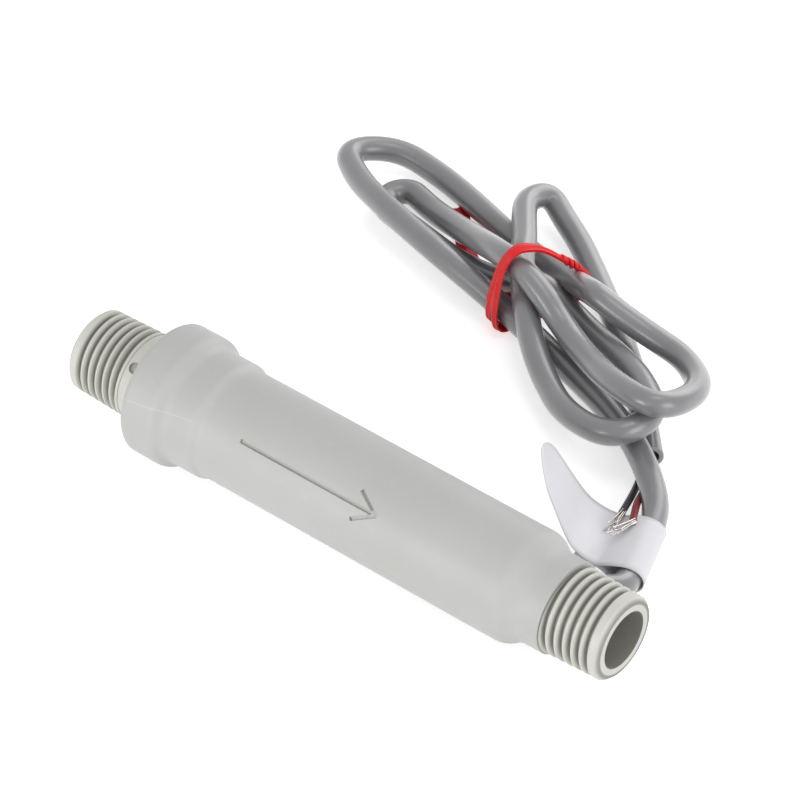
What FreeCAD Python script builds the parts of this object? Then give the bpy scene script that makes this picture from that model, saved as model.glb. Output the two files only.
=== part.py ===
import FreeCAD
import Part
import math
import os

Vector = FreeCAD.Vector
FLOW = Vector(1, 0, 0)
UP = Vector(0, 0, 1)

# Overall size, millimetres: the flow axis is X, inlet at -X, outlet at +X
OVERALL_LENGTH = 97.4
BODY_MIDDLE = 0.5
COLLAR_DIA = 20.9
AXIS_HEIGHT = COLLAR_DIA / 2

# Taper pipe thread on both ends, 18 threads per inch
THREAD_PITCH = 25.4 / 18
THREAD_SMALL_DIA = 13.08
THREAD_LENGTH = 8.8
TAPER_PER_RADIUS = 1 / 32
FLANK_ANGLE = 30.0
CREST_HALF_FLAT = 0.125
CREST_CHAMFER = 0.09
ROOT_HALF_FLAT = 0.09
GROOVE_OVERCUT = 0.25
TURN_SECTIONS = 12
RUN_IN_TURNS = 0.25
RUN_IN_ROOM = 0.05
OUTLET_THREAD_START = 230.0
INLET_THREAD_START = 75.0
NOSE_LENGTH = 0.9
NOSE_CHAMFER = 0.6
PORT_BORE_DIA = 8.9

# Outer jacket, from the inlet collar to the outlet neck
COLLAR_LENGTH = 5.3
COLLAR_ROUND = 1.2
COLLAR_STEP = 2.9
COLLAR_WALL = 0.6
BULGE_RISE = 0.55
BULGE_LENGTH = 3.7
BULGE_STEP = 2.15
SHOULDER_LENGTH = 4.6
NECK_WALL = 1.2
NECK_LENGTH = 2.9
SEAM_GAP = 0.12
ARROW_ANGLE = 40.0
ARROW_LENGTH = 25.0
ARROW_STROKE = 0.6
ARROW_BARB_LENGTH = 4.5
ARROW_BARB_ANGLE = 30.0
ARROW_DEPTH = 0.4
ARROW_SETBACK = 6.35

# Inlet fitting
INLET_NECK_DIA = 13.8
INLET_NECK_LENGTH = 3.7
NECK_GROOVE_OFFSET = 0.45
NECK_GROOVE_WIDTH = 0.25
NECK_GROOVE_DEPTH = 0.12
GATE_MARK_DIA = 1.8
GATE_MARK_DEPTH = 0.4
GATE_MARK_ANGLE = 52.0
FLANGE_LIP = 2.5
FLANGE_THICK = 2.5
SPIGOT_LENGTH = 6.2
SPIGOT_CLEARANCE = 0.05
GROOVE_FLOOR = 0.7
SEAT_WALL = 2.4

# Seal between spigot and tube
SEAL_GROOVE_DEPTH = 0.95
SEAL_GROOVE_WIDTH = 1.6
SEAL_WIDTH = 1.4
SEAL_ROUND = 0.4
SEAL_SETBACK = 2.2

# Flow tube
PISTON_BORE_DIA = 9.8
TUBE_WALL = 1.0
STOP_LEDGE_WIDTH = 0.45
SPRING_LEDGE_THICK = 1.5
SPRING_LEDGE_REACH = 0.15

# Piston, magnet and return spring
SEAT_GAP = 0.1
TRAVEL = 9.0
STOP_GAP = 0.1
RUNNING_CLEARANCE = 0.1
HEAD_CLEARANCE = 0.8
HEAD_THICK = 2.0
HEAD_CHAMFER = 0.5
RIB_COUNT = 4
RIB_THICK = 1.2
MAGNET_DIA = 4.6
MAGNET_LENGTH = 8.0
MAGNET_WALL = 1.0
CAP_PLUG_DEPTH = 2.0
CAP_THICK = 1.0
PILOT_LENGTH = 2.0
PILOT_CLEARANCE = 0.25
SPRING_WIRE = 0.5
SPRING_MEAN_DIA = 5.8
SPRING_LENGTH = 26.0
SPRING_TURNS = 9
SPRING_END_GAP = 0.02

# Reed switch, laid along the tube in a pocket on the back of the jacket
REED_ANGLE = 30.0
POCKET_SIDE_ROOM = 0.55
POCKET_COVER = 0.15
POCKET_SKIN = 0.65
POCKET_END_ROOM = 0.6
REED_SIDE = 0.9
REED_STANDOFF = 0.3
GLASS_DIA = 1.7
GLASS_LENGTH = 10.0
GLASS_WALL = 0.27
GLASS_END = 1.2
LEAD_DIA = 0.4
BLADE_WIDTH = 0.9
BLADE_THICK = 0.14
BLADE_GAP = 0.15
BLADE_OVERLAP = 1.2
BLADE_ROOT_GAP = 0.1
LEAD_LENGTH = 3.0
CRIMP_DIA = 1.24
CRIMP_LENGTH = 3.0
CRIMP_OFFSET = 1.5
CONDUCTOR_DIA = 1.1

# Cable gland and cable
CABLE_DIA = 4.0
CABLE_CLEARANCE = 0.3
GLAND_WALL = 1.1
LABEL_EASE = 0.3
GLAND_START = 12.0
GLAND_SHOULDER = 23.0
GLAND_EXIT = 30.0
LEAD_STRAIGHT = 2.3
GLAND_TIP_WALL = 0.5
GLAND_WEB_HALF_WIDTH = 2.6
PLUG_LENGTH = 5.5
PLUG_HALF_WIDTH = 1.9
CABLE_INSERTION = 5.0
CONDUCTOR_RISE = 8.0

# Stations along the flow axis
OUTLET_END = BODY_MIDDLE + OVERALL_LENGTH / 2
INLET_END = BODY_MIDDLE - OVERALL_LENGTH / 2
OUTLET_THREAD_BASE = OUTLET_END - NOSE_LENGTH - THREAD_LENGTH
INLET_THREAD_BASE = INLET_END + NOSE_LENGTH + THREAD_LENGTH
JACKET_OUTLET = OUTLET_THREAD_BASE - SEAM_GAP
JACKET_INLET = INLET_THREAD_BASE + INLET_NECK_LENGTH
COLLAR_END = JACKET_INLET + COLLAR_LENGTH
BULGE_START = COLLAR_END + COLLAR_STEP
BULGE_END = BULGE_START + BULGE_LENGTH
BARREL_START = BULGE_END + BULGE_STEP
SHOULDER_END = JACKET_OUTLET - NECK_LENGTH
BARREL_END = SHOULDER_END - SHOULDER_LENGTH
ARROW_START = BARREL_START + ARROW_SETBACK
FLANGE_INLET = JACKET_INLET + COLLAR_WALL
FLANGE_OUTLET = FLANGE_INLET + FLANGE_THICK
SEAT_FACE = FLANGE_OUTLET + SPIGOT_LENGTH
HEAD_FACE = SEAT_FACE + SEAT_GAP
CORE_START = HEAD_FACE + HEAD_THICK
MAGNET_START = CORE_START + MAGNET_WALL
MAGNET_END = MAGNET_START + MAGNET_LENGTH
CORE_END = MAGNET_END + CAP_PLUG_DEPTH
STOP_LEDGE = CORE_END + TRAVEL + STOP_GAP
SPRING_START = CORE_END + CAP_THICK
SPRING_END = SPRING_START + SPRING_LENGTH
REED_CENTRE = (MAGNET_START + MAGNET_END) / 2 + TRAVEL
GLASS_START = REED_CENTRE - GLASS_LENGTH / 2
GLASS_STOP = REED_CENTRE + GLASS_LENGTH / 2
INLET_CRIMP = GLASS_START - CRIMP_OFFSET - CRIMP_LENGTH
OUTLET_CRIMP = GLASS_STOP + CRIMP_OFFSET
CABLE_ROOT = GLAND_EXIT - CABLE_INSERTION
POCKET_START = INLET_CRIMP - LEAD_LENGTH
POCKET_STOP = GLAND_START + PLUG_LENGTH + POCKET_END_ROOM

# Radii that several pieces share
BORE_RADIUS = PISTON_BORE_DIA / 2
PORT_RADIUS = PORT_BORE_DIA / 2
TUBE_RADIUS = BORE_RADIUS + TUBE_WALL
CHAMBER_RADIUS = BORE_RADIUS - STOP_LEDGE_WIDTH
HEAD_RADIUS = BORE_RADIUS - HEAD_CLEARANCE
CORE_RADIUS = MAGNET_DIA / 2 + MAGNET_WALL
SPIGOT_RADIUS = BORE_RADIUS - SPIGOT_CLEARANCE
SEAL_INNER_RADIUS = SPIGOT_RADIUS - SEAL_GROOVE_DEPTH
SEAT_RADIUS = SEAL_INNER_RADIUS - GROOVE_FLOOR
SPRING_INNER_RADIUS = (SPRING_MEAN_DIA - SPRING_WIRE) / 2
GLASS_RADIUS = GLASS_DIA / 2
REED_RADIAL = TUBE_RADIUS + REED_STANDOFF + GLASS_RADIUS
POCKET_HALF_WIDTH = REED_SIDE + GLASS_RADIUS + POCKET_SIDE_ROOM
POCKET_TOP = REED_RADIAL + GLASS_RADIUS + POCKET_COVER
BARREL_RADIUS = POCKET_TOP + POCKET_SKIN
BULGE_RADIUS = BARREL_RADIUS + BULGE_RISE
COLLAR_RADIUS = COLLAR_DIA / 2
NECK_RADIUS = TUBE_RADIUS + NECK_WALL
FLANGE_RADIUS = TUBE_RADIUS + FLANGE_LIP
CABLE_RADIUS = CABLE_DIA / 2
CABLE_RADIAL = BARREL_RADIUS + CABLE_RADIUS + CABLE_CLEARANCE
GLAND_RADIUS = CABLE_RADIUS + GLAND_WALL
LABEL_SLEEVE_RADIUS = CABLE_RADIUS + LABEL_EASE
REED_TURN = -90.0 - REED_ANGLE
CABLE_ROOT_Y = CABLE_RADIAL * math.cos(math.radians(REED_ANGLE))
CABLE_ROOT_Z = AXIS_HEIGHT - CABLE_RADIAL * math.sin(math.radians(REED_ANGLE))

# Middle of the label's sleeve, and the cable's free route from the gland to the tied hank
LABEL_CENTRE = (35.95, 22.85, 2.9)
LEAD_ROUTE = (
    (CABLE_ROOT, CABLE_ROOT_Y, CABLE_ROOT_Z),
    (GLAND_EXIT + LEAD_STRAIGHT, CABLE_ROOT_Y, CABLE_ROOT_Z),
    (36.0, 10.9, 4.5),
    (38.0, 13.8, 3.8),
    (38.0, 17.1, 2.95),
    LABEL_CENTRE,
    (34.0, 28.4, 2.9),
    (31.5, 32.1, 3.1),
    (27.9, 35.2, 3.7),
    (23.4, 38.3, 4.1),
    (20.2, 40.3, 3.9),
)
# The last bight of the cable, which stands out of the hank
BIGHT_ROUTE = (
    (-15.7, 61.7, 7.6),
    (-18.7, 65.3, 6.9),
    (-22.9, 71.2, 6.0),
    (-23.0, 75.2, 5.2),
    (-20.6, 76.7, 4.2),
    (-17.6, 75.0, 3.2),
    (-12.5, 72.1, 2.4),
    (-7.8, 69.1, 2.1),
    (-1.4, 63.9, 2.1),
    (3.5, 60.3, 2.1),
    (8.4, 56.1, 2.1),
)

# Hank of tied cable: two round-ended lobes that meet at the tie
TIE_CENTRE = (-8.4, 56.1)
WAIST_RADIUS = 8.5
INLET_LOBE_CENTRE = (-44.6, 65.0)
INLET_LOBE_RADIUS = 9.6
OUTLET_LOBE_CENTRE = (16.5, 46.8)
OUTLET_LOBE_RADIUS = 13.0
HANK_HEIGHT = 14.8
HANK_TIP_HEIGHT = 8.2

# Twist tie round the waist of the hank
TIE_WIDTH = 4.0
TIE_THICK = 0.9
TIE_ROUND = 3.0
TIE_ANGLE = -28.7
TIE_HALF_SPAN = 7.6
TIE_TOP = 13.0
PIGTAIL_SIDE = 1.6
PIGTAIL_LENGTH = 7.0
PIGTAIL_TURN = 180.0
PIGTAIL_HEIGHT = 6.5
TIE_TAIL_THICK = 0.5
TIE_TAIL_WIDTH = 3.0
TIE_TAIL_ROUTE = ((-11.0, 56.6), (-20.5, 57.9), (-26.2, 60.6), (-33.4, 68.8))

# Flag label: a sleeve round the cable and a flag that curls up from it
LABEL_WIDTH = 11.0
LABEL_TURN = 109.5
LABEL_THICK = 0.3
LABEL_TIP_WIDTH = 5.0
# Flag stations: run out from the sleeve, height above the sleeve axis, tilt, width share
FLAG_STATIONS = (
    (2.2, 0.7, 0.0, 1.0),
    (4.8, 0.1, 0.0, 1.0),
    (7.3, 0.9, 3.0, 1.0),
    (9.7, 2.6, 8.0, 1.0),
    (11.2, 5.3, 12.0, 1.0),
    (12.6, 8.2, 15.0, 0.98),
    (14.1, 11.2, 18.0, 0.9),
)
FLAG_TIP = (15.6, 14.2, 20.0)

# Stripped conductors at the cut end of the cable
TAIL_CONDUCTOR_DIA = 1.1
STRAND_DIA = 0.22
STRAND_COUNT = 5
STRAND_LENGTH = 3.2
STRAND_ROOT = 0.4
STRAND_FAN = 5.0
STRAND_SPACING = 0.24
BLACK_TAIL_ROUTE = (
    (24.4, 39.9, 1.6),
    (25.2, 37.4, 0.7),
    (26.1, 34.7, 0.7),
    (27.5, 30.2, 2.6),
    (30.2, 25.2, 4.8),
)
RED_TAIL_ROUTE = (
    (26.0, 39.6, 1.5),
    (26.9, 37.2, 0.65),
    (27.8, 33.5, 0.65),
    (29.5, 29.2, 3.4),
    (33.2, 24.0, 5.6),
)
BLACK_STRAND_AIM = (-0.10, -0.97, 0.20)
RED_STRAND_AIM = (0.00, -0.97, -0.20)


def revolve(points):
    """Turn a closed outline of (x, radius) points about the flow axis."""
    corners = [Vector(x, 0, radius) for x, radius in points]
    face = Part.Face(Part.makePolygon(corners + corners[:1]))
    return face.revolve(Vector(), FLOW, 360)


def cylinder(start, stop, radius, y=0.0, z=0.0):
    """Round bar along the flow direction between two stations."""
    return Part.makeCylinder(radius, stop - start, Vector(start, y, z), FLOW)


def ring(start, stop, inner, outer):
    """Tube along the flow axis between two stations."""
    return cylinder(start, stop, outer).cut(cylinder(start, stop, inner))


def block(x_range, y_range, z_range):
    """Box between three pairs of limits."""
    size = [high - low for low, high in (x_range, y_range, z_range)]
    return Part.makeBox(*size, Vector(x_range[0], y_range[0], z_range[0]))


def turned(shape, angle):
    """Copy of a shape turned about the flow axis."""
    copy = shape.copy()
    copy.rotate(Vector(), FLOW, angle)
    return copy


def thread_depth():
    """Depth of the thread groove below its crests."""
    flank_half = THREAD_PITCH / 2 - CREST_HALF_FLAT - CREST_CHAMFER
    return CREST_CHAMFER + (flank_half - ROOT_HALF_FLAT) / math.tan(math.radians(FLANK_ANGLE))


def thread_section(turns):
    """Groove section after a number of turns from the nose, sinking to full depth over the run-in."""
    half_top = THREAD_PITCH / 2 - CREST_HALF_FLAT
    advance = half_top + turns * THREAD_PITCH
    lift = max(0.0, 1 - turns / RUN_IN_TURNS) * (thread_depth() + RUN_IN_ROOM)
    crest = THREAD_SMALL_DIA / 2 + advance * TAPER_PER_RADIUS + lift
    half = [
        (crest + GROOVE_OVERCUT, half_top), (crest, half_top),
        (crest - CREST_CHAMFER, half_top - CREST_CHAMFER), (crest - thread_depth(), ROOT_HALF_FLAT),
    ]
    outline = half + [(radius, -width) for radius, width in reversed(half)]
    corners = [Vector(radius, 0, advance + width) for radius, width in outline]
    section = Part.makePolygon(corners + corners[:1])
    section.rotate(Vector(), UP, 360 * turns)
    return section


def thread_groove(mouth, outward, start_angle):
    """Right-handed groove of a taper thread in half turns, running out past the base of the thread."""
    steps = TURN_SECTIONS // 2
    half_turns = []
    for index in range(math.ceil(2 * THREAD_LENGTH / THREAD_PITCH) + 1):
        sections = [thread_section((index + step / steps) / 2) for step in range(steps + 1)]
        groove = Part.makeLoft(sections, True, False)
        groove.rotate(Vector(), Vector(0, 1, 0), -90 * outward)
        groove.rotate(Vector(), FLOW, start_angle)
        groove.translate(Vector(mouth, 0, 0))
        half_turns.append(groove)
    return half_turns


def threaded_end(end, outward, start_angle):
    """Chamfered nose and threaded taper of one pipe end, without its bore."""
    small = THREAD_SMALL_DIA / 2
    large = small + THREAD_LENGTH * TAPER_PER_RADIUS
    mouth = end - outward * NOSE_LENGTH
    base = mouth - outward * THREAD_LENGTH
    nose = small - (NOSE_LENGTH - NOSE_CHAMFER) * TAPER_PER_RADIUS
    blank = revolve([
        (base, 0), (end, 0), (end, nose - NOSE_CHAMFER), (end - outward * NOSE_CHAMFER, nose), (base, large),
    ])
    return blank.cut(thread_groove(mouth, outward, start_angle))


def flow_tube():
    """Inner tube: piston bore, stop ledge, spring ledge, outlet bore and outlet thread."""
    tube = cylinder(FLANGE_OUTLET, OUTLET_THREAD_BASE, TUBE_RADIUS)
    tube = tube.fuse(threaded_end(OUTLET_END, 1, OUTLET_THREAD_START))
    ledge_end = SPRING_END + SPRING_LEDGE_THICK
    for start, stop, radius in (
        (FLANGE_OUTLET, STOP_LEDGE, BORE_RADIUS),
        (STOP_LEDGE, SPRING_END, CHAMBER_RADIUS),
        (SPRING_END, ledge_end, SPRING_INNER_RADIUS - SPRING_LEDGE_REACH),
        (ledge_end, OUTLET_END, PORT_RADIUS),
    ):
        tube = tube.cut(cylinder(start, stop, radius))
    return tube.removeSplitter()


def seal_groove_start():
    """Station where the seal groove in the spigot begins."""
    return FLANGE_OUTLET + SEAL_SETBACK


def inlet_fitting():
    """Inlet thread, grooved neck, flange, spigot and piston seat in one moulding."""
    body = threaded_end(INLET_END, -1, INLET_THREAD_START)
    body = body.fuse(cylinder(INLET_THREAD_BASE, FLANGE_INLET, INLET_NECK_DIA / 2))
    body = body.fuse(cylinder(FLANGE_INLET, FLANGE_OUTLET, FLANGE_RADIUS))
    body = body.fuse(cylinder(FLANGE_OUTLET, SEAT_FACE, SPIGOT_RADIUS))
    neck = INLET_NECK_DIA / 2
    start = INLET_THREAD_BASE + NECK_GROOVE_OFFSET
    body = body.cut(ring(start, start + NECK_GROOVE_WIDTH, neck - NECK_GROOVE_DEPTH, FLANGE_RADIUS))
    groove = seal_groove_start()
    body = body.cut(ring(groove, groove + SEAL_GROOVE_WIDTH, SEAL_INNER_RADIUS, BORE_RADIUS))
    mark_station = (INLET_THREAD_BASE + JACKET_INLET) / 2
    mark = Part.makeCylinder(GATE_MARK_DIA / 2, neck, Vector(mark_station, 0, neck - GATE_MARK_DEPTH), UP)
    body = body.cut(turned(mark, 90 - GATE_MARK_ANGLE))
    body = body.cut(cylinder(INLET_END, FLANGE_OUTLET - SEAT_WALL, PORT_RADIUS))
    body = body.cut(cylinder(FLANGE_OUTLET - SEAT_WALL, SEAT_FACE, SEAT_RADIUS))
    return body.removeSplitter()


def inlet_seal():
    """Squeezed ring between the spigot groove and the tube bore."""
    start = seal_groove_start() + (SEAL_GROOVE_WIDTH - SEAL_WIDTH) / 2
    seal = ring(start, start + SEAL_WIDTH, SEAL_INNER_RADIUS, BORE_RADIUS)
    rims = [edge for edge in seal.Edges if isinstance(edge.Curve, Part.Circle)]
    return seal.makeFillet(SEAL_ROUND, rims)


def line(start, stop):
    """Straight edge of an outline between two (x, radius) points."""
    return Part.makeLine(Vector(start[0], 0, start[1]), Vector(stop[0], 0, stop[1]))


def smooth_step(start, stop):
    """Two equal arcs that ease an outline from one radius to another."""
    run = stop[0] - start[0]
    drop = start[1] - stop[1]
    bend = (run ** 2 + drop ** 2) / (4 * drop)
    quarter = math.asin(run / (2 * bend)) / 2
    sideways = bend * math.sin(quarter)
    down = bend * (1 - math.cos(quarter))
    first = Vector(start[0], 0, start[1])
    last = Vector(stop[0], 0, stop[1])
    middle = (first + last) / 2
    return [
        Part.Arc(first, first + Vector(sideways, 0, -down), middle).toShape(),
        Part.Arc(middle, last + Vector(-sideways, 0, down), last).toShape(),
    ]


def jacket_skin():
    """Solid outer form of the jacket: collar, bulge, barrel, shoulder and neck."""
    collar = COLLAR_RADIUS
    eased = COLLAR_ROUND * (1 - math.sqrt(0.5))
    corner = Part.Arc(
        Vector(JACKET_INLET, 0, collar - COLLAR_ROUND),
        Vector(JACKET_INLET + eased, 0, collar - eased),
        Vector(JACKET_INLET + COLLAR_ROUND, 0, collar),
    )
    edges = [line((JACKET_INLET, 0), (JACKET_INLET, collar - COLLAR_ROUND)), corner.toShape()]
    edges.append(line((JACKET_INLET + COLLAR_ROUND, collar), (COLLAR_END, collar)))
    edges += smooth_step((COLLAR_END, collar), (BULGE_START, BULGE_RADIUS))
    edges.append(line((BULGE_START, BULGE_RADIUS), (BULGE_END, BULGE_RADIUS)))
    edges += smooth_step((BULGE_END, BULGE_RADIUS), (BARREL_START, BARREL_RADIUS))
    edges.append(line((BARREL_START, BARREL_RADIUS), (BARREL_END, BARREL_RADIUS)))
    edges += smooth_step((BARREL_END, BARREL_RADIUS), (SHOULDER_END, NECK_RADIUS))
    edges.append(line((SHOULDER_END, NECK_RADIUS), (JACKET_OUTLET, NECK_RADIUS)))
    edges.append(line((JACKET_OUTLET, NECK_RADIUS), (JACKET_OUTLET, 0)))
    edges.append(line((JACKET_OUTLET, 0), (JACKET_INLET, 0)))
    return Part.Face(Part.Wire(edges)).revolve(Vector(), FLOW, 360)


def flow_arrow():
    """Plain arrow of three sunk strokes on the barrel, pointing from inlet to outlet."""
    half = ARROW_STROKE / 2
    tip = ARROW_START + ARROW_LENGTH
    strokes = block((ARROW_START, tip), (-half, half), (0, COLLAR_DIA))
    for side in (-1, 1):
        barb = block((tip - ARROW_BARB_LENGTH, tip), (-half, half), (0, COLLAR_DIA))
        barb.rotate(Vector(tip, 0, 0), UP, side * ARROW_BARB_ANGLE)
        strokes = strokes.fuse(barb)
    floor = BARREL_RADIUS - ARROW_DEPTH
    cut = strokes.common(ring(ARROW_START, tip + ARROW_STROKE, floor, COLLAR_DIA))
    return turned(cut, 90 - ARROW_ANGLE)


def reed_pocket():
    """Slot between tube and jacket that holds the reed switch, before turning."""
    half = POCKET_HALF_WIDTH
    slot = block((POCKET_START, POCKET_STOP), (-half, half), (0, POCKET_TOP))
    return slot.cut(cylinder(POCKET_START, POCKET_STOP, TUBE_RADIUS))


def gland_plug():
    """Part of the gland that fills the window in the jacket, before turning."""
    half = PLUG_HALF_WIDTH
    return block((GLAND_START, GLAND_START + PLUG_LENGTH), (-half, half), (POCKET_TOP, CABLE_RADIAL))


def outer_jacket():
    """Moulded jacket over tube and inlet flange, with reed pocket and flow arrow."""
    jacket = jacket_skin()
    jacket = jacket.cut(cylinder(JACKET_INLET, FLANGE_INLET, INLET_NECK_DIA / 2))
    jacket = jacket.cut(cylinder(FLANGE_INLET, FLANGE_OUTLET, FLANGE_RADIUS))
    jacket = jacket.cut(cylinder(FLANGE_OUTLET, JACKET_OUTLET, TUBE_RADIUS))
    jacket = jacket.cut(turned(reed_pocket().fuse(gland_plug()), REED_TURN))
    return jacket.cut(flow_arrow()).removeSplitter()


def piston_body():
    """Piston with a flat head, a hollow core and guide ribs."""
    body = revolve([
        (HEAD_FACE, 0), (HEAD_FACE, HEAD_RADIUS - HEAD_CHAMFER), (HEAD_FACE + HEAD_CHAMFER, HEAD_RADIUS),
        (CORE_START, HEAD_RADIUS), (CORE_START, CORE_RADIUS), (CORE_END, CORE_RADIUS), (CORE_END, 0),
    ])
    guide = BORE_RADIUS - RUNNING_CLEARANCE
    half = RIB_THICK / 2
    envelope = cylinder(CORE_START, CORE_END, guide)
    for index in range(RIB_COUNT):
        rib = block((CORE_START, CORE_END), (-half, half), (0, BORE_RADIUS))
        body = body.fuse(turned(rib, 360 * index / RIB_COUNT).common(envelope))
    return body.cut(cylinder(MAGNET_START, CORE_END, MAGNET_DIA / 2)).removeSplitter()


def piston_magnet():
    """Bar magnet in the core of the piston."""
    return cylinder(MAGNET_START, MAGNET_END, MAGNET_DIA / 2)


def piston_cap():
    """Plug that shuts the magnet in and centres the spring."""
    pilot = SPRING_INNER_RADIUS - PILOT_CLEARANCE
    cap = cylinder(MAGNET_END, CORE_END, MAGNET_DIA / 2)
    cap = cap.fuse(cylinder(CORE_END, SPRING_START, CORE_RADIUS))
    cap = cap.fuse(cylinder(SPRING_START, SPRING_START + PILOT_LENGTH, pilot))
    return cap.removeSplitter()


def return_spring():
    """Coil spring between the piston cap and the ledge in the tube."""
    inset = SPRING_WIRE / 2 + SPRING_END_GAP
    height = SPRING_LENGTH - 2 * inset
    helix = Part.makeHelix(height / SPRING_TURNS, height, SPRING_MEAN_DIA / 2)
    section = Part.Wire(Part.makeCircle(SPRING_WIRE / 2, Vector(SPRING_MEAN_DIA / 2, 0, 0), Vector(0, 1, 0)))
    spring = Part.Wire(helix.Edges).makePipeShell([section], True, True)
    spring.rotate(Vector(), Vector(0, 1, 0), 90)
    spring.translate(Vector(SPRING_START + inset, 0, 0))
    return spring


def lead_wire(start, stop):
    """Round lead of the reed switch between two stations."""
    return cylinder(start, stop, LEAD_DIA / 2, -REED_SIDE, REED_RADIAL)


def blade(start, stop, inner_face):
    """Flat reed blade with its inner face at a given radial place."""
    half = BLADE_WIDTH / 2
    across = (-REED_SIDE - half, -REED_SIDE + half)
    return block((start, stop), across, (inner_face, inner_face + BLADE_THICK))


def cavity_start():
    """Station of the inlet end of the space inside the glass."""
    return GLASS_START + GLASS_END


def cavity_stop():
    """Station of the outlet end of the space inside the glass."""
    return GLASS_STOP - GLASS_END


def reed_capsule():
    """Glass shell of the reed switch, sealed onto both leads."""
    glass = cylinder(GLASS_START, GLASS_STOP, GLASS_RADIUS, -REED_SIDE, REED_RADIAL)
    cavity = cylinder(cavity_start(), cavity_stop(), GLASS_RADIUS - GLASS_WALL, -REED_SIDE, REED_RADIAL)
    return glass.cut(cavity).cut(lead_wire(GLASS_START, GLASS_STOP))


def reed_blade_fixed():
    """Outlet-side lead and its blade."""
    tip = REED_CENTRE - BLADE_OVERLAP / 2
    wire = lead_wire(cavity_stop() - BLADE_GAP, OUTLET_CRIMP + CRIMP_LENGTH / 2)
    return wire.fuse(blade(tip, cavity_stop(), REED_RADIAL - BLADE_GAP / 2 - BLADE_THICK))


def reed_lead_inlet():
    """Inlet-side lead that carries the moving blade."""
    return lead_wire(INLET_CRIMP + CRIMP_LENGTH / 2, cavity_start())


def reed_blade_moving():
    """Inlet-side blade with a round root, which closes onto the fixed one."""
    tip = REED_CENTRE + BLADE_OVERLAP / 2
    root = cavity_start() + BLADE_ROOT_GAP
    inner_face = REED_RADIAL + BLADE_GAP / 2
    corner = Vector(root, -REED_SIDE - BLADE_WIDTH / 2, inner_face + BLADE_THICK / 2)
    round_root = Part.makeCylinder(BLADE_THICK / 2, BLADE_WIDTH, corner, Vector(0, 1, 0))
    return blade(root, tip, inner_face).fuse(round_root).removeSplitter()


def lead_crimp(start, lead):
    """Crimped sleeve that joins a lead to its conductor."""
    return cylinder(start, start + CRIMP_LENGTH, CRIMP_DIA / 2, -REED_SIDE, REED_RADIAL).cut(lead)


def rounded_path(points):
    """Straight runs through points, joined by tangent arcs; returns wire and smallest radius."""
    edges = []
    smallest = math.inf
    start = points[0]
    for before, corner, after in zip(points, points[1:], points[2:]):
        back = before - corner
        ahead = after - corner
        setback = 0.45 * min(back.Length, ahead.Length)
        half_turn = (math.pi - back.getAngle(ahead)) / 2
        radius = setback / math.tan(half_turn)
        smallest = min(smallest, radius)
        back.normalize()
        ahead.normalize()
        inward = back + ahead
        inward.normalize()
        entry = corner + back * setback
        leave = corner + ahead * setback
        middle = corner + inward * (radius / math.cos(half_turn) - radius)
        edges.append(Part.LineSegment(start, entry).toShape())
        edges.append(Part.Arc(entry, middle, leave).toShape())
        start = leave
    edges.append(Part.LineSegment(start, points[-1]).toShape())
    return Part.Wire(edges), smallest


def round_tube(name, route, diameter):
    """Round solid along a route, with its length, volume and tightest bend printed."""
    points = [Vector(*point) for point in route]
    path, smallest = rounded_path(points)
    section = Part.Wire(Part.makeCircle(diameter / 2, points[0], points[1] - points[0]))
    tube = path.makePipeShell([section], True, False)
    expected = math.pi * diameter ** 2 / 4 * path.Length
    print(f"{name}: length {path.Length:.1f}, volume {tube.Volume:.1f} of {expected:.1f}, bend {smallest:.1f}")
    return tube


def conductor_routes():
    """Routes of the two conductors from the crimps to the cable, before turning."""
    loop_end = INLET_CRIMP - CONDUCTOR_DIA
    bottom = GLAND_START
    top = bottom + CONDUCTOR_RISE
    black = (
        (OUTLET_CRIMP + CRIMP_LENGTH, -REED_SIDE, REED_RADIAL), (bottom, -REED_SIDE, REED_RADIAL),
        (top, -REED_SIDE, CABLE_RADIAL), (CABLE_ROOT, -REED_SIDE, CABLE_RADIAL),
    )
    red = (
        (INLET_CRIMP, -REED_SIDE, REED_RADIAL), (loop_end - REED_SIDE, -REED_SIDE, REED_RADIAL),
        (loop_end - REED_SIDE, REED_SIDE, REED_RADIAL), (bottom, REED_SIDE, REED_RADIAL),
        (top, REED_SIDE, CABLE_RADIAL), (CABLE_ROOT, REED_SIDE, CABLE_RADIAL),
    )
    return black, red


def cable_gland(conductors):
    """Moulded cable outlet that saddles the barrel and tapers onto the cable."""
    dome = GLAND_START + GLAND_RADIUS
    gland = cylinder(dome, GLAND_SHOULDER, GLAND_RADIUS, 0, CABLE_RADIAL)
    gland = gland.fuse(Part.makeSphere(GLAND_RADIUS, Vector(dome, 0, CABLE_RADIAL)))
    taper = GLAND_EXIT - GLAND_SHOULDER
    spot = Vector(GLAND_SHOULDER, 0, CABLE_RADIAL)
    gland = gland.fuse(Part.makeCone(GLAND_RADIUS, CABLE_RADIUS + GLAND_TIP_WALL, taper, spot, FLOW))
    half = GLAND_WEB_HALF_WIDTH
    gland = gland.fuse(block((dome, GLAND_SHOULDER), (-half, half), (POCKET_TOP, CABLE_RADIAL)))
    gland = gland.cut(cylinder(GLAND_START, GLAND_EXIT, BARREL_RADIUS))
    gland = gland.fuse(gland_plug())
    gland = gland.cut(cylinder(CABLE_ROOT, GLAND_EXIT, CABLE_RADIUS, 0, CABLE_RADIAL))
    return gland.cut(conductors).removeSplitter()


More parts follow.
